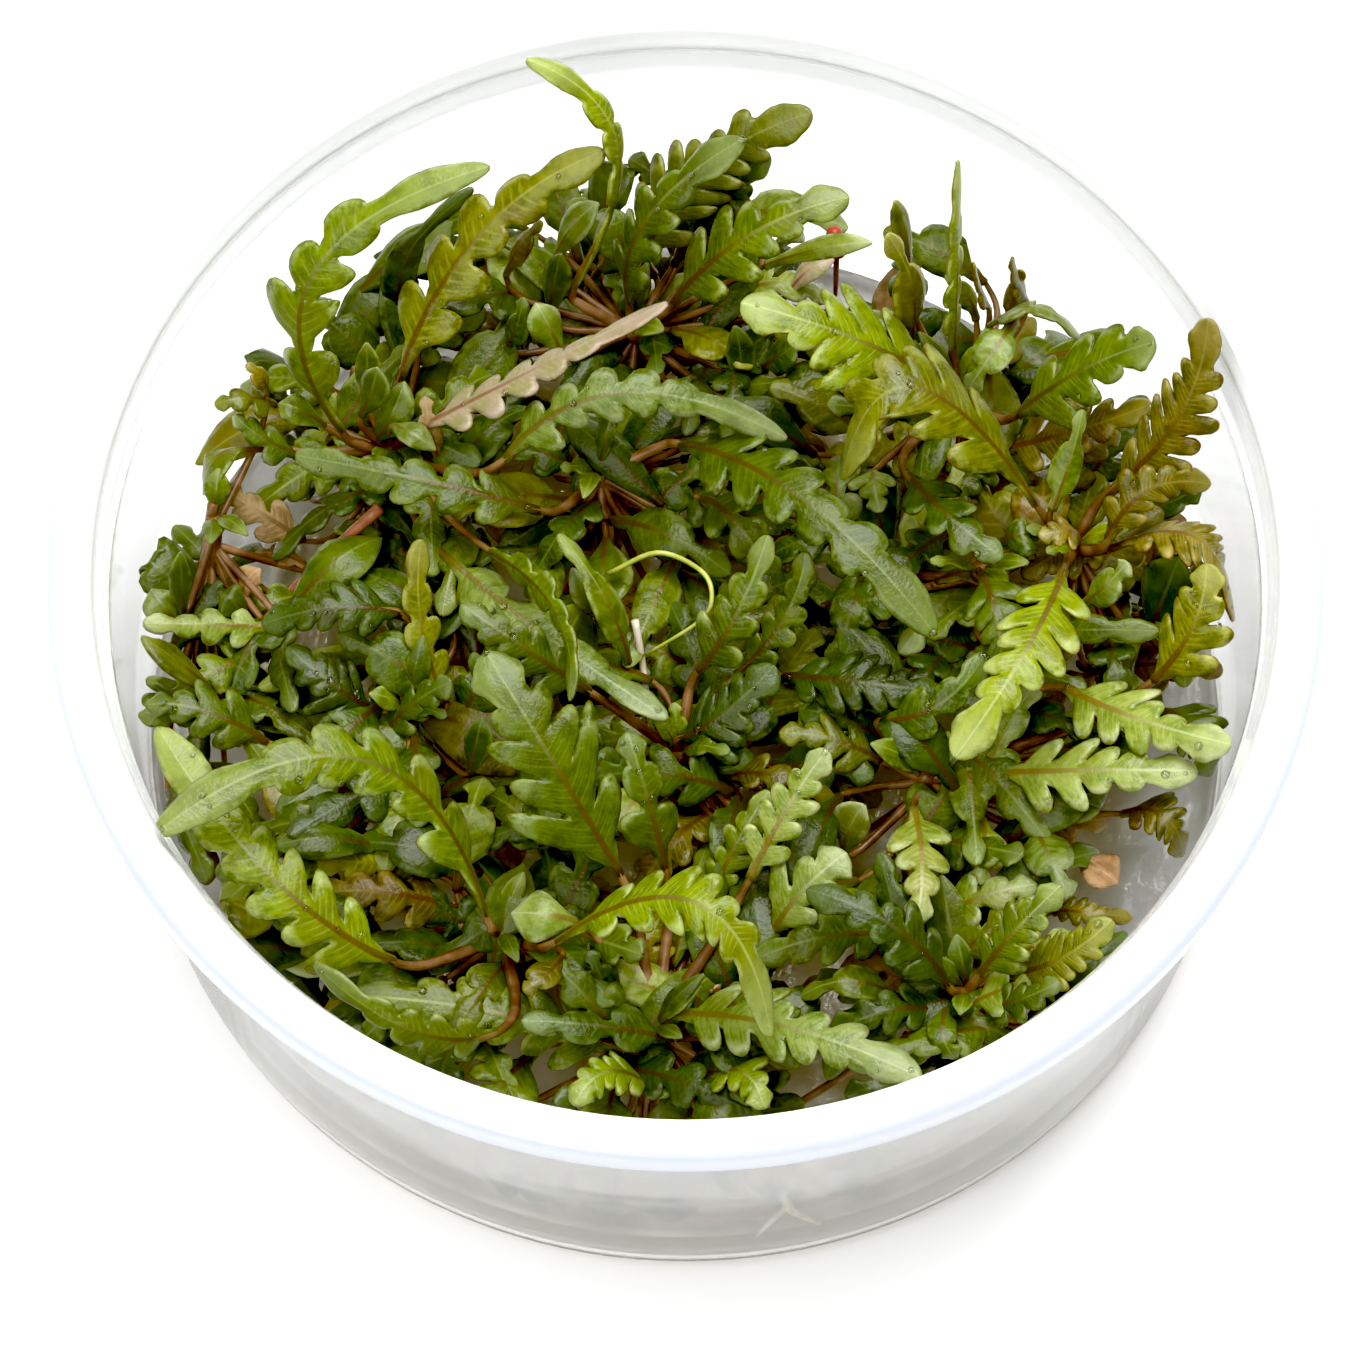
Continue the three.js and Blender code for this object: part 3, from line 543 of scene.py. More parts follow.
def add_blade(bm, start, middle, tip, half, pairs, turns, tone_index=0, fine=8, columns=10):
    """Adds one leaf blade to bm: a grid bent along its midrib and cut into lobes."""
    rib = Midrib(start, middle, tip)
    shade = random.random()
    size = min(1, half / GROWN_HALF_WIDTH)
    shallow = SHALLOW_IF_SMALL * (1 - size) + random.uniform(0, SHALLOW_BY_CHANCE)
    rows = blade_rows(half, pairs, rib.length(), fine, shallow)
    seed = Vector((random.random() * 50, random.random() * 50, random.random() * 50))
    grid = bmesh.ops.create_grid(bm, x_segments=columns, y_segments=len(rows) - 1, size=1)
    layers = {key: bm.verts.layers.float[key] for key in LAYERS}
    places = []
    for u, width, vein in rows:
        turn = math.radians(lerp(turns[0], turns[1], u))
        places.append((u, rib.point(u), *rib.axes(u, turn), width, vein))
    for vert in grid["verts"]:
        v = math.copysign(abs(vert.co.x) ** COLUMN_CROWDING, vert.co.x)
        u, spot, along, side, normal, width, vein = places[round((vert.co.y + 1) / 2 * (len(rows) - 1))]
        lobe = math.floor((u - LOBES_START) / (LOBES_END - LOBES_START) * pairs + 0.001) if pairs else 0
        own = seed + Vector((min(lobe, pairs) * 3.7, 5 * (v > 0), 0))
        reach = width * (1 + UNEVEN * noise.noise(own)) if width > STALK_WIDTH else width
        q = abs(v) * reach
        lift = LOBE_LIFT * noise.noise(own + Vector((0, 0, 7))) * max(0.0, q - LIFTS_FROM * half)
        ripple = RIPPLE * size * noise.noise(seed + Vector((u * 9, v * 2, 0))) * abs(v)
        arch = ARCH * size * (1 - vein * vein) * math.sin(math.pi * abs(v))
        furl = FURL * size * max(0.0, abs(v) - FURLS_FROM) / (1 - FURLS_FROM)
        ridge = lerp(RIDGE_AT_BASE, RIDGE_AT_TIP, u) * math.exp(-(q / RIDGE_WIDTH) ** 2)
        height = -LOBE_DROOP * q * q + lift + ripple + arch + furl + ridge
        forward = q * sweep(u, q, pairs) * (1 + UNEVEN * noise.noise(own + Vector((0, 9, 0))))
        vert.co = press_to_wall(spot + math.copysign(q, v) * side + forward * along + height * normal)
        for key, value in zip(LAYERS, (v, q / size, vein, u, shade)):
            vert[layers[key]] = value
    for face in {face for vert in grid["verts"] for face in vert.link_faces}:
        face.material_index = tone_index
    bmesh.ops.remove_doubles(bm, verts=grid["verts"], dist=MERGE)


def new_mesh(*layers):
    """An empty bmesh whose points carry the named values."""
    bm = bmesh.new()
    for key in layers:
        bm.verts.layers.float.new(key)
    return bm


# %% Stalk
def smooth_path(points, steps):
    """Points on a smooth curve through the given ones."""
    ends = [Vector(p) for p in points]
    ends = [2 * ends[0] - ends[1]] + ends + [2 * ends[-1] - ends[-2]]
    path = []
    for k in range(1, len(ends) - 2):
        a, b, c, d = ends[k - 1:k + 3]
        for step in range(steps):
            t = step / steps
            path.append(0.5 * (2 * b + (c - a) * t + (2 * a - 5 * b + 4 * c - d) * t ** 2
                               + (3 * b - a - 3 * c + d) * t ** 3))
    return path + [ends[-2]]


def add_stalk(bm, points, radii, sides=8, steps=6, ages=True):
    """Adds a tube along a smooth path: a grid rolled up, joined along its seam and closed at both ends."""
    path = smooth_path(points, steps)
    grid = bmesh.ops.create_grid(bm, x_segments=sides, y_segments=len(path) - 1, size=1)
    layer = bm.verts.layers.float["along"]
    frames = []
    guide = Vector((0.3, 0.2, 1)).orthogonal()
    for k, spot in enumerate(path):
        along = (path[min(k + 1, len(path) - 1)] - path[max(k - 1, 0)]).normalized()
        guide = (guide - guide.dot(along) * along).normalized()
        share = k / (len(path) - 1) * (len(radii) - 1)
        low = min(int(share), len(radii) - 2)
        frames.append((spot, guide, along.cross(guide), lerp(radii[low], radii[low + 1], share - low)))
    for vert in grid["verts"]:
        spot, right, up, radius = frames[round((vert.co.y + 1) / 2 * (len(path) - 1))]
        vert[layer] = (vert.co.y + 1) / 2 if ages else 0
        angle = math.pi * vert.co.x
        vert.co = spot + radius * (math.cos(angle) * right + math.sin(angle) * up)
    bmesh.ops.remove_doubles(bm, verts=grid["verts"], dist=MERGE)
    verts = [vert for vert in grid["verts"] if vert.is_valid]
    rims = [edge for edge in {e for v in verts for e in v.link_edges} if edge.is_boundary]
    bmesh.ops.holes_fill(bm, edges=rims, sides=sides + 2)
    return path


# %% [markdown]
# ## The leaves, one by one
#
# The places below are the same as in the solid model, in millimetres: the start, middle and tip of each
# blade, its half width, its pairs of lobes, how far it is turned about its midrib in degrees, and its tone. A
# large leaf has a name before its shoot's and a turn for both ends. The solid model leaves the tiny ones out.

# %% Row reader
def read_rows(table):
    """Reads one row a line: names, then three points, then single numbers and a name."""
    rows = []
    for words in filter(None, map(str.split, table.split("\n"))):
        row = [word if word[0].isalpha() else json.loads(word) for word in words]
        first = sum(isinstance(value, str) for value in row[:2])
        rows.append(row[:first] + [row[k:k + 3] for k in range(first, first + 9, 3)] + row[first + 9:])
    return rows


# %% Large leaves: name, shoot, start, middle, tip, half width, pairs, turns, tone
LEAVES = read_rows("""
back_left_tall back_left -27.5 17 28.5 -29.5 25 40.5 -15.5 31.5 46.5 3.2 4 10 0 young
back_left_broad back_left -23 21 29.5 -16.5 30 37.5 -6.5 35 42.5 3.1 4 -5 5 olive
back_twisted back -9 29.5 29.5 -5.5 35.5 42.5 -12.5 40 48.5 1.9 4 70 10 young
back_left_pink back_left -21 16.5 30.5 -12 19 35.5 -1.5 23.5 38.5 2.2 5 -25 -25 underside
middle_back_pale back_left -14.5 13 31.5 -5 16.5 36.5 8 14.5 32.5 2.4 5 10 15 pale
middle_left_back upper_middle -11.5 10 28.5 -21 11 32 -31 13.5 31.5 2.5 4 10 -20 green
back_rear back -3.5 31.5 29.5 1.5 36.5 36.5 10 39 41.5 3.2 6 15 15 olive
back_front back -4.5 28 29.5 -3 31 38.5 4.5 35.5 43.5 2.8 4 -10 0 green
back_right_lobed back -1 28.5 28.5 5 30.5 36.5 13 33 38.5 3.1 4 5 10 green
back_right_reach back_right 20.5 21 29.5 13 21.5 36.5 4.5 23.5 38.5 4 4 0 0 young
right_arching right 28 9.5 30.5 18 15.5 39.5 12.5 9.5 35.5 4.2 5 0 0 olive
back_right_spire back_right 21.5 24 29.5 21.5 27 38.5 21.5 31.5 47.5 1.3 4 55 65 young
back_right_fan back_right 26.5 17.5 30.5 31.5 18.5 36.5 37 19 40.5 3.5 3 0 0 young
right_bronze_low back_right 25.5 16.5 26.5 31 16 30.5 37 16.5 34.5 2.8 4 0 10 bronze
right_bronze_tall right 33.5 10.5 30.5 39 13.5 38.5 41 18.5 45.5 3 6 -10 10 bronze
right_bronze_narrow right 33.5 6 31.5 36.5 8.5 35.5 41.5 9.5 34.5 2 4 30 30 bronze
right_bronze_arching right 34.5 6.5 29.5 40.5 4.5 34.5 43.5 0.5 28.5 2.6 6 -15 -40 bronze
right_front_young right 30 3.5 31.5 26.5 -6.5 37.5 21 -14.5 35.5 3.3 5 5 0 young
middle_right_dark back_right 17.5 13 29.5 21 7.5 32.5 25 4 32.5 2.6 3 0 0 deep
middle_long upper_middle -0.5 15.5 29.5 9.5 7 36.5 19.5 -3.5 34.5 3.3 5 5 0 green
middle_low_right middle 7.5 -3.5 26.5 14 -5.5 29.5 20.5 -6 28.5 2.7 5 0 0 deep
right_front_dark right_front 15.5 -8 28 20 -8 31 23.5 -4 31.5 2.1 2 10 25 deep
right_edge_broad right_front 37 -4.5 27.5 40 -2 32.5 41 2 35.5 2.8 3 -10 0 olive
right_edge_pale right_front 30 -5 27.5 35.5 -9.5 31.5 42.5 -13 34.5 2.8 4 5 10 pale
right_front_pale right_front 25 -12 26.5 32 -13.5 30.5 40 -14 31.5 2.9 4 0 0 pale
middle_bright front -5 -22 29.5 -10.5 -15 36.5 -15.5 -7 38.5 4.6 4 0 0 green
middle_left_short middle -7.5 -6.5 30 -13 -4.5 34.5 -17.5 -1.5 35.5 2.3 4 -10 0 green
middle_upright front -1.5 -21 28.5 -3 -17 33.5 -4.5 -12.5 35.5 2.5 2 10 5 green
middle_left_pale back_left -19.5 7 27 -11 -1.5 29.5 -1.5 -9 30.5 2.3 3 0 -10 pale
middle_fork middle 1 -4 28.5 4 -1.5 33.5 6.5 4 36.5 2.5 3 0 0 green
middle_olive middle -0.5 -9 26.5 3 -8 29 7 -4.5 30.5 2.9 4 0 5 deep
front_tipped front 5 -22 28.5 8 -17.5 32.5 11 -14 35.5 2.3 4 5 0 pale
left_glossy middle_left -22.5 1 28.5 -28 0.5 30.5 -33.5 0 28.5 2.2 4 0 -10 deep
left_lobed middle_left -25 -5.5 24.5 -28 -4.5 27 -31.5 -1.5 27.5 2.6 4 0 0 deep
left_edge middle_left -33 -9 25.5 -38 -7.5 28.5 -42.5 -7 28.5 2.4 3 5 0 green
front_left_arching front_left -15.5 -25.5 29.5 -25 -17 40.5 -40.5 -24 42.5 3.5 5 0 0 young
front_left_rim front_left -22.5 -29.5 30 -32 -25 36.5 -41 -12.5 36.5 3.4 5 0 0 young
front_left_low front -4.5 -35 25.5 -15 -32.5 27 -26 -31.5 28 3 5 0 0 green
front_rim front_left -14.5 -35.5 30.5 -21 -36.5 33.5 -28.5 -31.5 34.5 1.8 4 -30 -45 young
front_arching front_left -10 -28 30.5 1 -29 40.5 6.5 -37 33.5 2.7 6 5 10 young
front_right_low front -1 -32.5 26.5 8 -36 32.5 18 -40.5 33.5 3.1 5 0 0 pale
front_right_grey front_right 20.5 -30.5 27.5 16 -27.5 32.5 9.5 -24.5 32.5 2.5 4 0 0 deep
front_right_green front_right 23 -29.5 27.5 25.5 -28 32.5 29 -25 34.5 2.2 4 5 0 green
front_right_feather front_right 25 -29 26.5 29 -29.5 30.5 33 -27 32.5 2.4 6 0 10 olive
""")

# %% Small leaves: shoot, start, middle, tip, half width, pairs, turn, tone
SMALL_LEAVES = read_rows("""
back_left -31 16 26.5 -34 16 29.5 -36 17 31.5 1.6 2 0 pale
back_left -26 18 29.5 -25 19 32 -24.5 20 34 1.4 0 0 green
back_left -25 17 26.5 -23.5 18 29.5 -22.5 20.5 30.5 1.4 0 0 green
back_left -22 27 28.5 -22.5 29.5 34.5 -17 34 38 1.5 1 40 deep
back_left -33 19.5 28.5 -35 18.5 31.5 -37.5 18 31.5 1.5 2 0 olive
back_left -35.5 15 29.5 -37.5 13 31.5 -38.5 12 27.5 1.9 0 30 green
back_left -30.5 9 25 -34 10.5 27 -37 12.5 27.5 2.3 2 0 withered
left_edge -40.5 1.5 25.5 -41.5 2 27.5 -42.5 3.5 27.5 1.4 0 0 pale
middle_left -37.5 -4 24.5 -40 -3.5 28.5 -43 -1.5 29.5 1.6 0 25 olive
left_edge -35 2.5 24.5 -36 3 26.5 -37 3.5 26.5 1.4 0 0 green
back -10 24.5 27.5 -11 25.5 30.5 -12 27 31.5 1.5 0 0 pale
back -1 33 26.5 2.5 35.5 32.5 6.5 37.5 37.5 2.5 4 10 deep
back 6.5 32 28.5 11 31.5 32.5 15 31.5 33.5 0.9 0 20 pale
back 6 24.5 24.5 8 24.5 27.5 10 25.5 28.5 1.7 1 0 deep
back_right 18 24.5 29.5 18 26 36.5 16 27.5 42.5 1.8 1 10 olive
back_right 18 28 31.5 17.5 30 38.5 16.5 30.5 42.5 0.9 0 20 olive
back_right 24.5 25.5 30.5 28 24.5 35.5 31.5 23.5 32.5 1.6 2 -30 pale
back_right 26.5 25 32.5 24.5 21.5 33.5 22.5 19.5 30.5 1.9 1 0 pale
back_right 27.5 27.5 30.5 26.5 27.5 34.5 26 28 37.5 1 2 0 bronze
right 29 8.5 31.5 30.5 12 33.5 31.5 15.5 35.5 1.2 1 15 green
right 31 6.5 31.5 30 6 33 28 5.5 33.5 1.5 2 0 bronze
right 37 0.5 25.5 38 2 29.5 39 3.5 33.5 2.5 0 0 deep
right 31.5 2.5 26.5 33.5 3 29.5 35 4 31.5 1.7 1 0 pale
middle_right 23.5 3.5 30.5 24.5 -1 32.5 25 -4.5 30.5 2.6 3 10 green
back_right 15 13 29.5 15 11.5 30.5 15.5 9.5 29.5 1.8 2 0 pale
middle_right 24 0 25.5 30 -0.5 28.5 37.5 -1 29.5 1.7 3 20 green
middle_right 25 7 28.5 26.5 7 30.5 28 7.5 29.5 1.8 1 0 deep
middle_right 11 3.5 24.5 14 2.5 27.5 18.5 3 27.5 2.9 3 0 deep
back_right 10.5 16.5 25.5 7 17.5 28.5 4 20 28.5 2.1 0 0 deep
middle -6.5 1.5 26.5 -7.5 2 29.5 -9 4 30.5 1.5 0 0 pale
middle -4.5 -2.5 26.5 -6.5 1 31.5 -10 6 32.5 1.5 1 20 green
back_left -15.5 6 29.5 -10 -1.5 34 -9 -9 34 1.4 4 55 young
middle 4 -3.5 26.5 8 0 30.5 9.5 4 33.5 1.7 4 0 green
front 2 -22 25 4 -19 28.5 6.5 -15.5 31 1.9 4 0 green
middle_left -19 -5.5 25.5 -21 0 28.5 -21 6 31.5 1.8 3 15 olive
middle_left -24 -7.5 23.5 -21.5 -6 26.5 -18.5 -5 28.5 2.1 3 0 green
middle_left -28 -17.5 22.5 -30.5 -18.5 24.5 -33.5 -18.5 23.5 1.9 2 0 deep
middle -10 -15.5 24.5 -12.5 -16.5 26.5 -16 -17.5 25.5 1.9 2 0 deep
front -8.5 -25.5 28.5 -11 -25.5 30 -13.5 -25 29 2.1 0 0 pale
front_left -9.5 -28.5 28.5 -11 -31 30.5 -12.5 -32 30.5 1.5 1 0 bronze
front 1.5 -37.5 25.5 4.5 -39 30.5 6 -42 31 2.2 3 0 young
front -2.5 -38 24.5 -6 -38.5 29.5 -8.5 -41.5 30.5 2.2 4 0 young
front 3 -37 23.5 2 -39.5 25.5 1.5 -40.5 24.5 1.5 0 0 withered
front -5.5 -31.5 24.5 -6.5 -30 27.5 -7.5 -28 28.5 1.5 1 0 deep
front 7 -25.5 26.5 9 -23.5 29.5 12.5 -20.5 30.5 3.2 2 0 pale
front_right 23.5 -31.5 25.5 26 -32.5 29.5 29 -31.5 31 1.8 3 0 green
front_right 17 -31 25.5 13 -30.5 28.5 9 -31 26.5 1.6 1 0 green
front_right 20 -23 23.5 23.5 -22.5 26.5 27.5 -21.5 26.5 2.3 2 0 pale
front_right 29 -22.5 23.5 31.5 -23.5 25.5 35 -23.5 24.5 1.2 4 0 bronze
front_right 20.5 -31 25.5 20 -34.5 27.5 21 -36 26.5 1.7 1 0 green
right_front 18 -14.5 25.5 18.5 -21 29.5 18 -26 29.5 2.3 3 0 pale
right_front 27.5 -15.5 24.5 28.5 -19.5 27.5 30 -23 27.5 2.2 1 0 pale
right_front 23.5 -15 24.5 23.5 -18.5 26.5 23 -21 25.5 1.9 1 0 pale
right_front 31 -18 23.5 32.5 -19.5 25 34 -20.5 24.5 1.6 0 0 withered
right_front 34.5 -15 25.5 37.5 -17 29.5 39 -19 26.5 2.1 4 0 bronze
right_front 15.5 -10.5 25.5 11.5 -9.5 27.5 7.5 -9 27.5 2.2 3 0 olive
right_front 12.5 -18 24.5 13 -17 27.5 14 -16 29.5 1.6 0 0 pale
""")

# %% Tiny and withered leaves: columns as before
TINY_LEAVES = read_rows("""
back_left -29 18 27.5 -31 18.5 29.5 -32.5 19 29.5 1.3 0 0 green
back_left -23.5 17 29.5 -22 15.5 31.5 -20 14.5 30.5 1.3 0 0 pale
back_left -25.5 20 27.5 -25.5 21.5 30 -25.5 23 32.5 1 0 0 green
left_edge -33.5 19.5 30.5 -34 20 32.5 -35 20.5 33.5 0.8 1 0 bronze
left_edge -40 2 26.5 -40 3 29.5 -40 4.5 32.5 1 0 20 green
back -10.5 32.5 28.5 -9 33.5 32.5 -7 34.5 34.5 1.3 0 0 pale
back -11 28 27.5 -10.5 29.5 30.5 -10 30.5 33.5 1.2 0 0 green
back -14.5 25.5 26.5 -13.5 26 29.5 -13 27.5 31.5 1 1 0 deep
back 4.5 22.5 24.5 4.5 24 27.5 4 25.5 30.5 1.3 0 0 deep
back -14.5 31 28.5 -13 32 32.5 -11.5 32.5 35 0.9 1 0 bronze
back 8.5 31 25.5 10 32 27.5 12 33 27.5 1 0 0 underside
back_right 24.5 27.5 29.5 23.5 27.5 33.5 23 27.5 37.5 1 2 0 bronze
back_right 26 26.5 28.5 26.5 28 31.5 27 28.5 34.5 0.9 1 0 bronze
back_right 23.5 27 28.5 22.5 28.5 30.5 21 29.5 31.5 0.9 1 0 olive
middle_left -17 -11 24.5 -16.5 -10 27.5 -16 -8.5 29.5 1.2 0 0 deep
left_edge -30.5 7.5 23.5 -32.5 8 24.5 -34.5 8.3 24 1.1 1 0 withered
back_left -19.7 14.7 27.5 -20.4 16.4 30.8 -20.8 18.6 31.5 1.1 1 0 withered
left_edge -35.5 3.5 24.5 -35 5 26 -34 6 26 1.1 0 0 withered
front -15.5 -39.2 11.7 -12.3 -40.6 12 -8.8 -41.5 11.6 1.7 2 0 green
front -8.2 -41.4 11.5 -6.4 -41.8 11.8 -4.4 -42 11.5 1.5 0 0 deep
front -3.6 -42 11.6 -1.4 -42.1 11.9 1 -42.1 11.6 1.3 0 0 deep
front_right 5 -41.7 15.6 7 -41.6 14.2 9.2 -41.3 12.4 2 1 0 deep
front_right 11 -40.6 11.8 14.6 -39.5 12.2 18.6 -37.7 12.6 1.4 2 0 green
front_right 11.5 -40.5 17 14 -39.6 17.2 16.5 -38.7 16.8 1.4 1 0 green
""")

# %% Stems: name, foot, a point on the way, crown
SHOOTS = read_rows("""
back_left -25.5 15.5 3.5 -24 16.5 21.5 -23.5 16.5 26.5
back -3 28 3.5 -3.5 27.5 21.5 -4.5 27.5 26.5
back_right 24.5 23.5 3.5 23 22 21.5 22 21.5 26.5
right 31.5 8.5 3.5 31.5 8 21.5 31 7.5 27.5
middle_right 22.5 5 3.5 23.5 5 21.5 23.5 5.5 27.5
middle 1.5 -10 3.5 0.5 -9.5 19.5 -0.5 -9.5 25.5
middle_left -21.5 -6 3.5 -22 -6.5 20.5 -22 -5.5 24.5
front_left -13 -25.5 3.5 -13.5 -25.5 20.5 -14.5 -25 25.5
front -3 -33 3.5 -2.5 -33.5 20.5 -2.5 -33 25.5
front_right 22 -29.5 3.5 22 -30 20.5 22 -30 25.5
right_front 20 -12.5 3.5 19.5 -12 20.5 19 -11.5 25.5
left_edge -36.5 1 3.5 -38.2 5 21.5 -37.5 9 29.5
upper_middle -6 14 3.5 -6.5 14 21.5 -7 14.5 26.5
""")

# %% Large leaves
def make_leaf(place, _shoot, start, middle, tip, half, pairs, turn_start, turn_tip, tone):
    name = "leaf_" + place
    bm = new_mesh(*LAYERS)
    add_blade(bm, start, middle, tip, half, pairs, (turn_start, turn_tip))
    back = TONES["green"] if tone == "underside" else BACK_OF_LEAF
    piece = finish_piece(bm, name + "_blade", [TONES[tone], back], [name])
    thicken(piece, material_offset=1)
    return piece


large_leaves = [make_leaf(*row) for row in LEAVES]
print(len(large_leaves), "large leaves")

# %% [markdown]
# ## Leaves between the large ones
#
# The photograph shows a closed carpet, with the gel bare in a few places only. Most of its leaves are short,
# stand low and can't be told apart one by one. They could be scattered blindly, but each one belongs to a
# shoot, so a loose net of places is laid over the gel and each place gets a leaf that points away from the
# nearest stem. A wider net lower down stands for the undergrowth. Each crown also carries its youngest
# leaves, which are still upright.

# %% Low and youngest leaves
NETS = ((4.4, 42.5, 21.0, 25.6), (7.5, 41, 12.5, 17.5))  # mesh, radius, lowest and highest level
NET_SHAKE = (-1.6, 1.6)
SIGHT = 0.45  # how much nearer to the viewer a leaf seems to stand for each millimetre that it is lower
CLEARING_LEVEL, CLEARING_MARGIN = 21.5, 2.2
CLEARINGS = [((-33, 10), 2.6), ((-27, 1), 0.8), ((-11, -36), 1.8), ((12, -36), 1.2), ((16, -12), 1.8),
             ((3, -11), 1.4), ((36, -21), 4.2), ((13, 35), 3.6), ((-38, 14), 2.3), ((26, 32), 2.8),
             ((-5, 10), 1.0), ((39, -12), 1.5)]
WALL_RADIUS = 43.0
LOW_LENGTH, LOW_ASIDE, LOW_ARCH, LOW_TIP = (7.5, 12.5), (-1.0, 1.0), (1.5, 3.5), (-1.0, 4.0)
LOW_HALF, LOW_PAIRS, LOW_TURN = (1.6, 2.6), (0, 1, 1, 2, 2, 3), (-20, 20)
LOW_TONES = ("green",) * 8 + ("deep",) * 10 + ("pale",) * 2 + ("olive",) + ("bronze",)
WARM_TONES = ("bronze", "olive", "bronze", "deep", "green", "deep")
WARM_FROM = (24, -4)
UNDERGROWTH_LEVEL, UNDERGROWTH_TONES = 20, ("deep", "bronze", "withered")
YOUNG, YOUNG_LENGTH, YOUNG_HALF, YOUNG_PAIRS = 3, (3.0, 5.5), (0.7, 1.1), (0, 0, 1)
YOUNG_TONES = ("young", "green", "deep", "green")


def inside_wall(point):
    """Pulls a point back inside the cup's wall."""
    flat = math.hypot(point.x, point.y)
    if flat > WALL_RADIUS:
        point.x *= WALL_RADIUS / flat
        point.y *= WALL_RADIUS / flat
    return point


def low_leaf(place, foot, level):
    """One short leaf over a place on the gel, pointing away from its stem's foot."""
    away = math.atan2(place.y - foot.y, place.x - foot.x) + random.uniform(*LOW_ASIDE)
    heading = Vector((math.cos(away), math.sin(away), 0))
    length = random.uniform(*LOW_LENGTH)
    start = inside_wall(place - 0.5 * length * heading + Vector((0, 0, level)))
    middle = inside_wall(place + Vector((0, 0, level + random.uniform(*LOW_ARCH))))
    tip = inside_wall(place + 0.5 * length * heading + Vector((0, 0, level + random.uniform(*LOW_TIP))))
    warm = place.x > WARM_FROM[0] and place.y > WARM_FROM[1]
    tones = UNDERGROWTH_TONES if level < UNDERGROWTH_LEVEL else WARM_TONES if warm else LOW_TONES
    return [start, middle, tip, random.uniform(*LOW_HALF), random.choice(LOW_PAIRS),
            random.uniform(*LOW_TURN), random.choice(tones)]


def young_leaf(crown):
    """One very young leaf, nearly upright, at a stem's crown."""
    around = random.uniform(0, math.tau)
    heading = Vector((math.cos(around), math.sin(around), 0))
    length = random.uniform(*YOUNG_LENGTH)
    start = crown + 0.6 * heading
    middle = start + 0.25 * length * heading + Vector((0, 0, 0.5 * length))
    tip = start + 0.75 * length * heading + Vector((0, 0, 0.8 * length))
    return [start, middle, tip, random.uniform(*YOUNG_HALF), random.choice(YOUNG_PAIRS), 0,
            random.choice(YOUNG_TONES)]


feet = {row[0]: Vector(row[1]) for row in SHOOTS}
extra_leaves = {name: [young_leaf(Vector(crown)) for _ in range(YOUNG)] for name, _, _, crown in SHOOTS}
for net, radius, lowest, highest in NETS:
    reach = math.ceil(radius / net) + 1
    for row, column in itertools.product(range(-reach, reach + 1), repeat=2):
        place = Vector(((column + row % 2 / 2) * net, row * net * math.sqrt(0.75), 0))
        place += Vector((random.uniform(*NET_SHAKE), random.uniform(*NET_SHAKE), 0))
        level = random.uniform(lowest, highest)
        seen = place.xy - Vector((0, SIGHT * (CLEARING_LEVEL - level)))
        bare = any((seen - Vector(centre)).length < size + CLEARING_MARGIN for centre, size in CLEARINGS)
        if place.length > radius or bare:
            continue
        nearest = min(feet, key=lambda name: (feet[name].xy - place.xy).length)
        extra_leaves[nearest].append(low_leaf(place, feet[nearest], level))
print(sum(len(leaves) for leaves in extra_leaves.values()), "leaves between the large ones")

# %% [markdown]
# ## Shoots
#
# Each shoot is a brown stem rooted in the gel. A stalk leaves it for every leaf, lower for a lower leaf. Its
# small leaves are the same bent grid, with fewer rows. Stems and leaves are two pieces, because only the
# leaves get a thickness added.

# %% Stems and stalks
STEM_RADIUS, CROWN_SHARE = 0.9, 0.8
STALK_RADIUS, SMALL_STALK = 0.45, 0.7
STALK_TAPER = (1.3, 1.0, 0.75, 0.45, 0.15)
LONG_RUN, SHORT_RUN = 0.45, 0.3
LOWEST_NODE, HIGHEST_NODE = 0.62, 0.92


def stalk_points(stem, rise, rib, run):
    """A stalk's route from the stem to a blade's start, from where it runs on as the blade's midrib."""
    share = lerp(LOWEST_NODE, HIGHEST_NODE, rise)
    node = stem[round(share * (len(stem) - 1))]
    reach = (rib.start - node).length
    bend = (rib.start - 0.3 * reach * rib.along(0)).lerp(node.lerp(rib.start, 0.55), 0.5)
    return [node, bend, rib.start, rib.point(run / 2), rib.point(run)]


def make_shoot(place, *points):
    name = place + "_shoot"
    owned = [(row[2:], True) for row in LEAVES if row[1] == place]
    owned += [(row[1:], False) for row in SMALL_LEAVES + TINY_LEAVES if row[0] == place]
    owned += [(row, False) for row in extra_leaves[place]]
    owned.sort(key=lambda leaf: leaf[0][0][2])
    stems = new_mesh("along")
    radii = (STEM_RADIUS, STEM_RADIUS, CROWN_SHARE * STEM_RADIUS)
    stem = add_stalk(stems, points, radii, sides=12, ages=False)
    blades = new_mesh(*LAYERS)
    tones = list(TONES)
    for order, (leaf, large) in enumerate(owned):
        start, middle, tip, half, pairs = leaf[:5]
        rib = Midrib(start, middle, tip)
        rise = order / max(1, len(owned) - 1)
        thick = STALK_RADIUS if large else SMALL_STALK * STALK_RADIUS
        add_stalk(stems, stalk_points(stem, rise, rib, LONG_RUN if large else SHORT_RUN),
                  [thick * share for share in STALK_TAPER], sides=6, steps=5)
        if not large:
            add_blade(blades, start, middle, tip, half, pairs, (leaf[5], leaf[5]), tones.index(leaf[6]), 6, 8)
    finish_piece(stems, name + "_stems", [STEM], [name])
    thicken(finish_piece(blades, name + "_small_leaves", list(TONES.values()), [name]))


for row in SHOOTS:
    make_shoot(*row)
print(len(SHOOTS), "shoots with", len(SMALL_LEAVES), "small leaves")

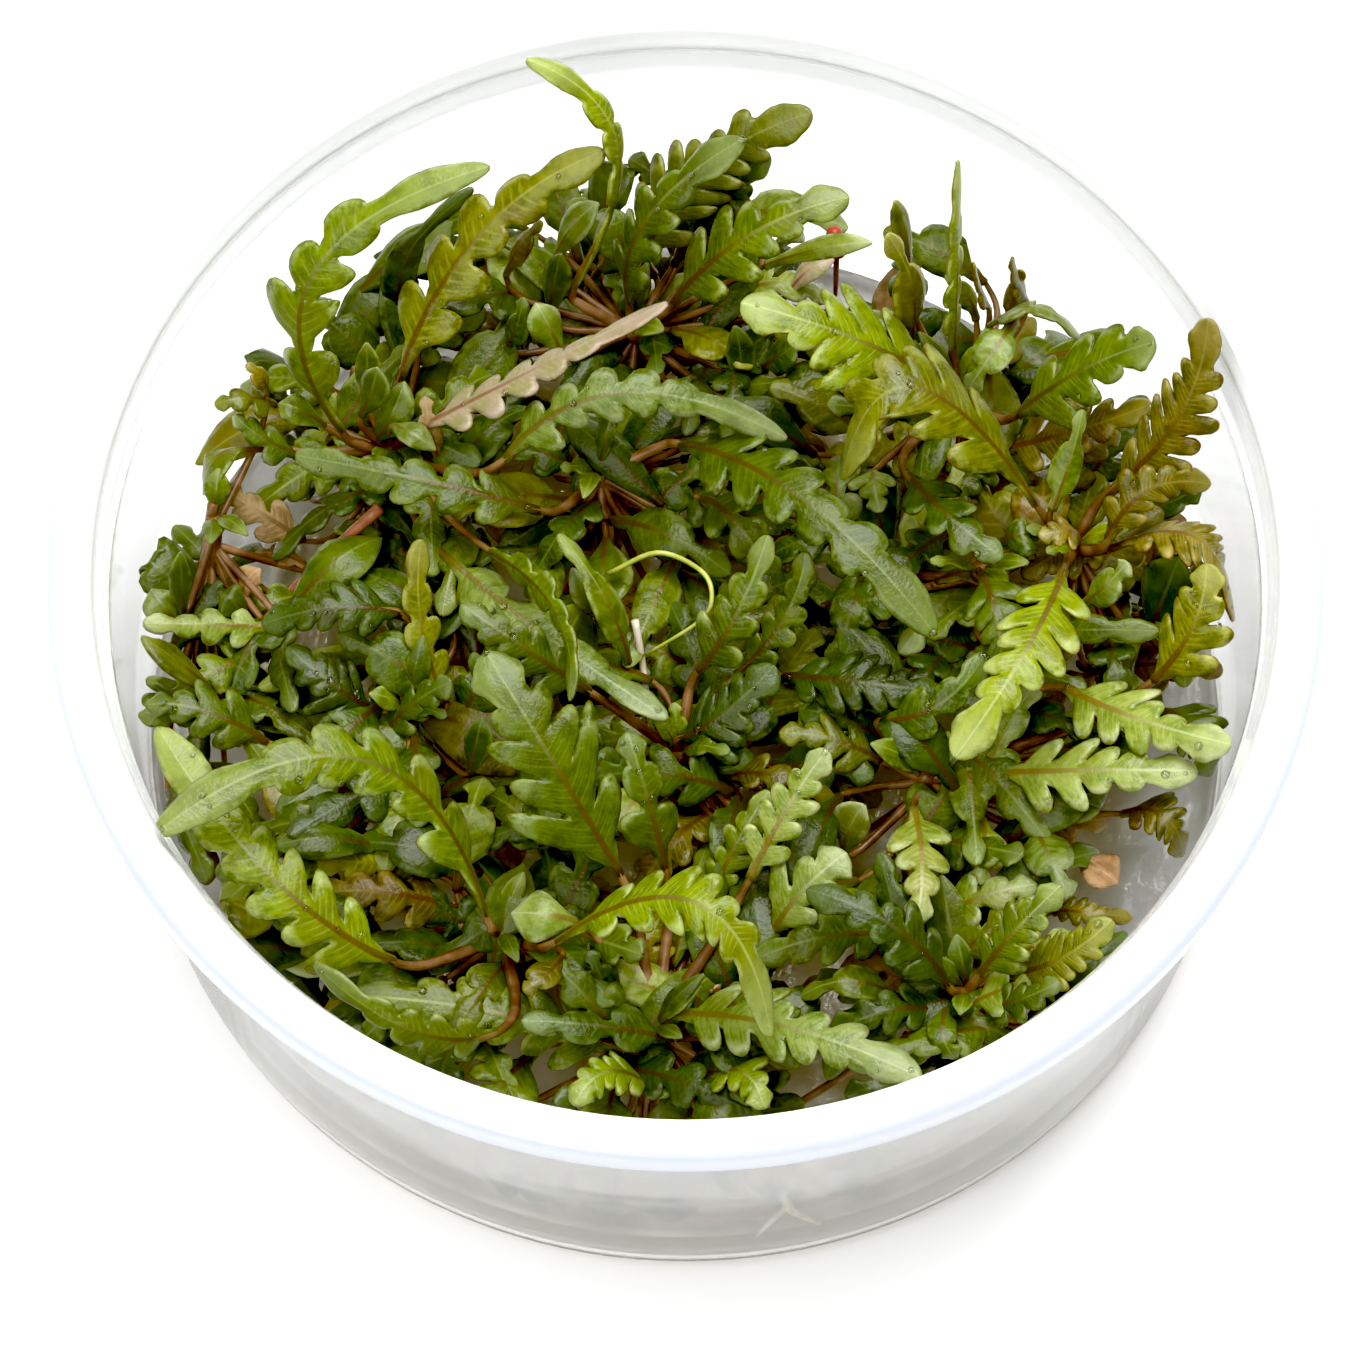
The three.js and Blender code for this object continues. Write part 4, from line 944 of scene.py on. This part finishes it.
# %% [markdown]
# ## Roots, tendril and buds
#
# A few bare stems, pale roots and one curly tendril show between the leaves, and two red buds stand on a
# stalk at the back. The first are stalks of the same kind, and the buds are small spheres.

# %% Loose strands
STRANDS = [
    ("red_stem_left", RED_STEM, 0.5, [(-24.4, 10.3, 28.5), (-29.3, 7.3, 24.5), (-34, 3.8, 21)]),
    ("bud_stalk", RED_STEM, 0.3, [(12.2, 34.6, 28), (12.3, 34, 26), (12.3, 33.4, 20.5)]),
    ("stem_left_edge", STEM, 0.45, [(-37.6, 9.7, 30.5), (-38.4, 8.1, 25.5), (-39.3, 6.5, 20.5)]),
    ("tendril", TENDRIL, 0.22, [(-6.1, 4.5, 28.5), (-2.2, 5.4, 30.5), (1.2, 3.4, 31.5), (2.1, 1.2, 31.5),
                                (1.2, -0.5, 30.5), (-3, -1.6, 26.5)]),
    ("pink_root", ROOT, 0.32, [(-4, 0.4, 28.5), (-3.4, -2, 25.5), (-2.8, -5.9, 22.5)]),
    ("front_root", ROOT, 0.35, [(7.5, -43.1, 17), (8.2, -43, 13), (10.5, -42.3, 8)]),
    ("front_root_fork", ROOT, 0.28, [(8, -43, 14), (6.8, -43, 11), (5.5, -42.9, 7)]),
    ("front_stem", RED_STEM, 0.4, [(22.5, -35.5, 14), (15.5, -39.3, 12.5), (8, -41.9, 10.3),
                                   (0.4, -42.3, 11)]),
]
BUDS = (((12.1, 34.9, 28.4), 0.7), ((12.5, 34.1, 26.8), 0.55))
for strand_name, material, radius, points in STRANDS:
    strand = new_mesh("along")
    add_stalk(strand, points, (radius, 0.9 * radius, 0.6 * radius), ages=False)
    finish_piece(strand, strand_name, [material], [])

buds = new_mesh("along")
for spot, radius in BUDS:
    bud = bmesh.ops.create_uvsphere(buds, u_segments=20, v_segments=12, radius=radius)
    bmesh.ops.translate(buds, verts=bud["verts"], vec=spot)
finish_piece(buds, "red_buds", [BUD], [])
print(len(STRANDS), "strands and", len(BUDS), "buds")

# %% [markdown]
# ## Drops of water
#
# The air in the cup is damp, so small drops sit on the leaves. Each is a flattened ball that sinks half into
# a leaf's face, and they are joined into one piece.

# %% Drops
DROPS = 170
DROP_RADIUS = (0.16, 0.4)
DROP_FLATNESS = 0.6
LEVEL_ENOUGH = 0.5
drops = bmesh.new()
for _ in range(DROPS):
    leaf = random.choice(large_leaves).data
    face = leaf.polygons[random.randrange(len(leaf.polygons))]
    if abs(face.normal.z) < LEVEL_ENOUGH:
        continue
    drop = bmesh.ops.create_icosphere(drops, subdivisions=2, radius=random.uniform(*DROP_RADIUS))
    bmesh.ops.scale(drops, vec=(1, 1, DROP_FLATNESS), verts=drop["verts"])
    bmesh.ops.translate(drops, verts=drop["verts"], vec=face.center / MM + Vector((0, 0, LEAF_THICKNESS / 2)))
drops_piece = finish_piece(drops, "water_drops", [WATER], [])
print("drops", len(drops_piece.data.polygons), "faces")

# %% [markdown]
# ## Cup
#
# The cup is a moulded plastic shell. Its section is drawn once and spun round the middle. Corners are
# rounded before the spin, because one bevel of a few points is simpler than a bevel of the whole rim.

# %% Spun shapes
CUP_SECTION = [
    (0, 0), (42, 0), (44.3, 2.4), (45.95, 36),  # foot, heel and the wall's outside
    (47.7, 37.2), (47.7, 38), (50, 38), (50, 40.2),  # shoulder and flared rim
    (48.7, 41), (46.95, 41.5),  # lip
    (45.15, 36), (43.5, 3.2), (42, 1), (0, 1),  # the wall's inside and the floor
]
CUP_ROUNDING = (1.2, 1.0, 0.9, 0.3, 0.2, 0.4, 0.5, 0.5, 0.6, 1.2, 1.2, 0.9)  # from the second corner on


def spin_profile(points, steps, rounding):
    """Spins a section of (radius, height) points round the upright axis, with its corners rounded first."""
    bm = bmesh.new()
    verts = [bm.verts.new((r, 0, z)) for r, z in points]
    for a, b in zip(verts, verts[1:]):
        bm.edges.new((a, b))
    for corner, size in zip(verts[1:], rounding):
        bmesh.ops.bevel(bm, geom=[corner], offset=size, segments=4, profile=0.5, affect="VERTICES",
                        material=-1)
    bmesh.ops.spin(bm, geom=bm.verts[:] + bm.edges[:], cent=(0, 0, 0), axis=(0, 0, 1), angle=math.tau,
                   steps=steps, use_merge=True)
    bmesh.ops.remove_doubles(bm, verts=bm.verts, dist=0.001)
    bmesh.ops.recalc_face_normals(bm, faces=bm.faces)
    return bm


cup = spin_profile(CUP_SECTION, 144, CUP_ROUNDING)
cup_piece = finish_piece(cup, "cup_shell", [PLASTIC], ["cup"])
print("cup", len(cup_piece.data.polygons), "faces")

# %% [markdown]
# ## Gel
#
# The gel has set in the cup, so it follows the wall and creeps a little up it. Its top is cloudy and wet with
# wrinkles where roots and stems have pushed it up, most of all in one torn place at the left.

# %% Gel
GEL_TOP, GEL_RADIUS = 8.5, 42
RINGS_A_MM = 2
SWELL, SWELL_GRAIN = 0.35, 0.16
WRINKLE, WRINKLE_GRAIN = 0.28, 0.55
TORN_PLACE, TORN_SIZE = Vector((-33, 15, 0)), 7
TORN_WRINKLE, TORN_GRAIN = 1.6, 0.25
CALM_FROM, CALM_OVER = 43.4, 2
gel_section = [(0, 1.06), (41.9, 1.06), (43.2, 3.3), (43.5, GEL_TOP + 0.9), (42.8, GEL_TOP + 0.25)]
gel_section += [(GEL_RADIUS - k / RINGS_A_MM, GEL_TOP) for k in range(GEL_RADIUS * RINGS_A_MM + 1)]
gel = spin_profile(gel_section, 180, ())
for vert in gel.verts:
    if vert.co.z > GEL_TOP - 0.1:
        spot = Vector((vert.co.x, vert.co.y, 0))
        swell = SWELL * noise.noise(spot * SWELL_GRAIN)
        torn = math.exp(-((spot - TORN_PLACE).length / TORN_SIZE) ** 2)
        folds = abs(noise.noise(spot * (WRINKLE_GRAIN + TORN_GRAIN * torn) + Vector((9, 0, 0))))
        wrinkle = (WRINKLE + TORN_WRINKLE * torn) * folds
        vert.co.z += (swell + wrinkle) * max(0, min(1, (CALM_FROM - spot.length) / CALM_OVER))
gel_piece = finish_piece(gel, "gel_body", [GEL], ["gel"])
print("gel", len(gel_piece.data.polygons), "faces")

# %% [markdown]
# ## Ground
#
# The ground is plain and pale, and isn't part of the object.

# %% Ground
ground_mesh = bpy.data.meshes.new("ground")
ground_bm = bmesh.new()
bmesh.ops.create_grid(ground_bm, x_segments=1, y_segments=1, size=1.5)
ground_bm.to_mesh(ground_mesh)
ground_bm.free()
ground = bpy.data.objects.new("ground", ground_mesh)
bpy.context.scene.collection.objects.link(ground)
ground_material, tree = new_material("matt_white_board")
board = add(tree, "BsdfPrincipled", {"Base Color": linear("fdfdfd"), "Roughness": 0.9})
add(tree, "OutputMaterial", {"Surface": board})
ground_mesh.materials.append(ground_material)
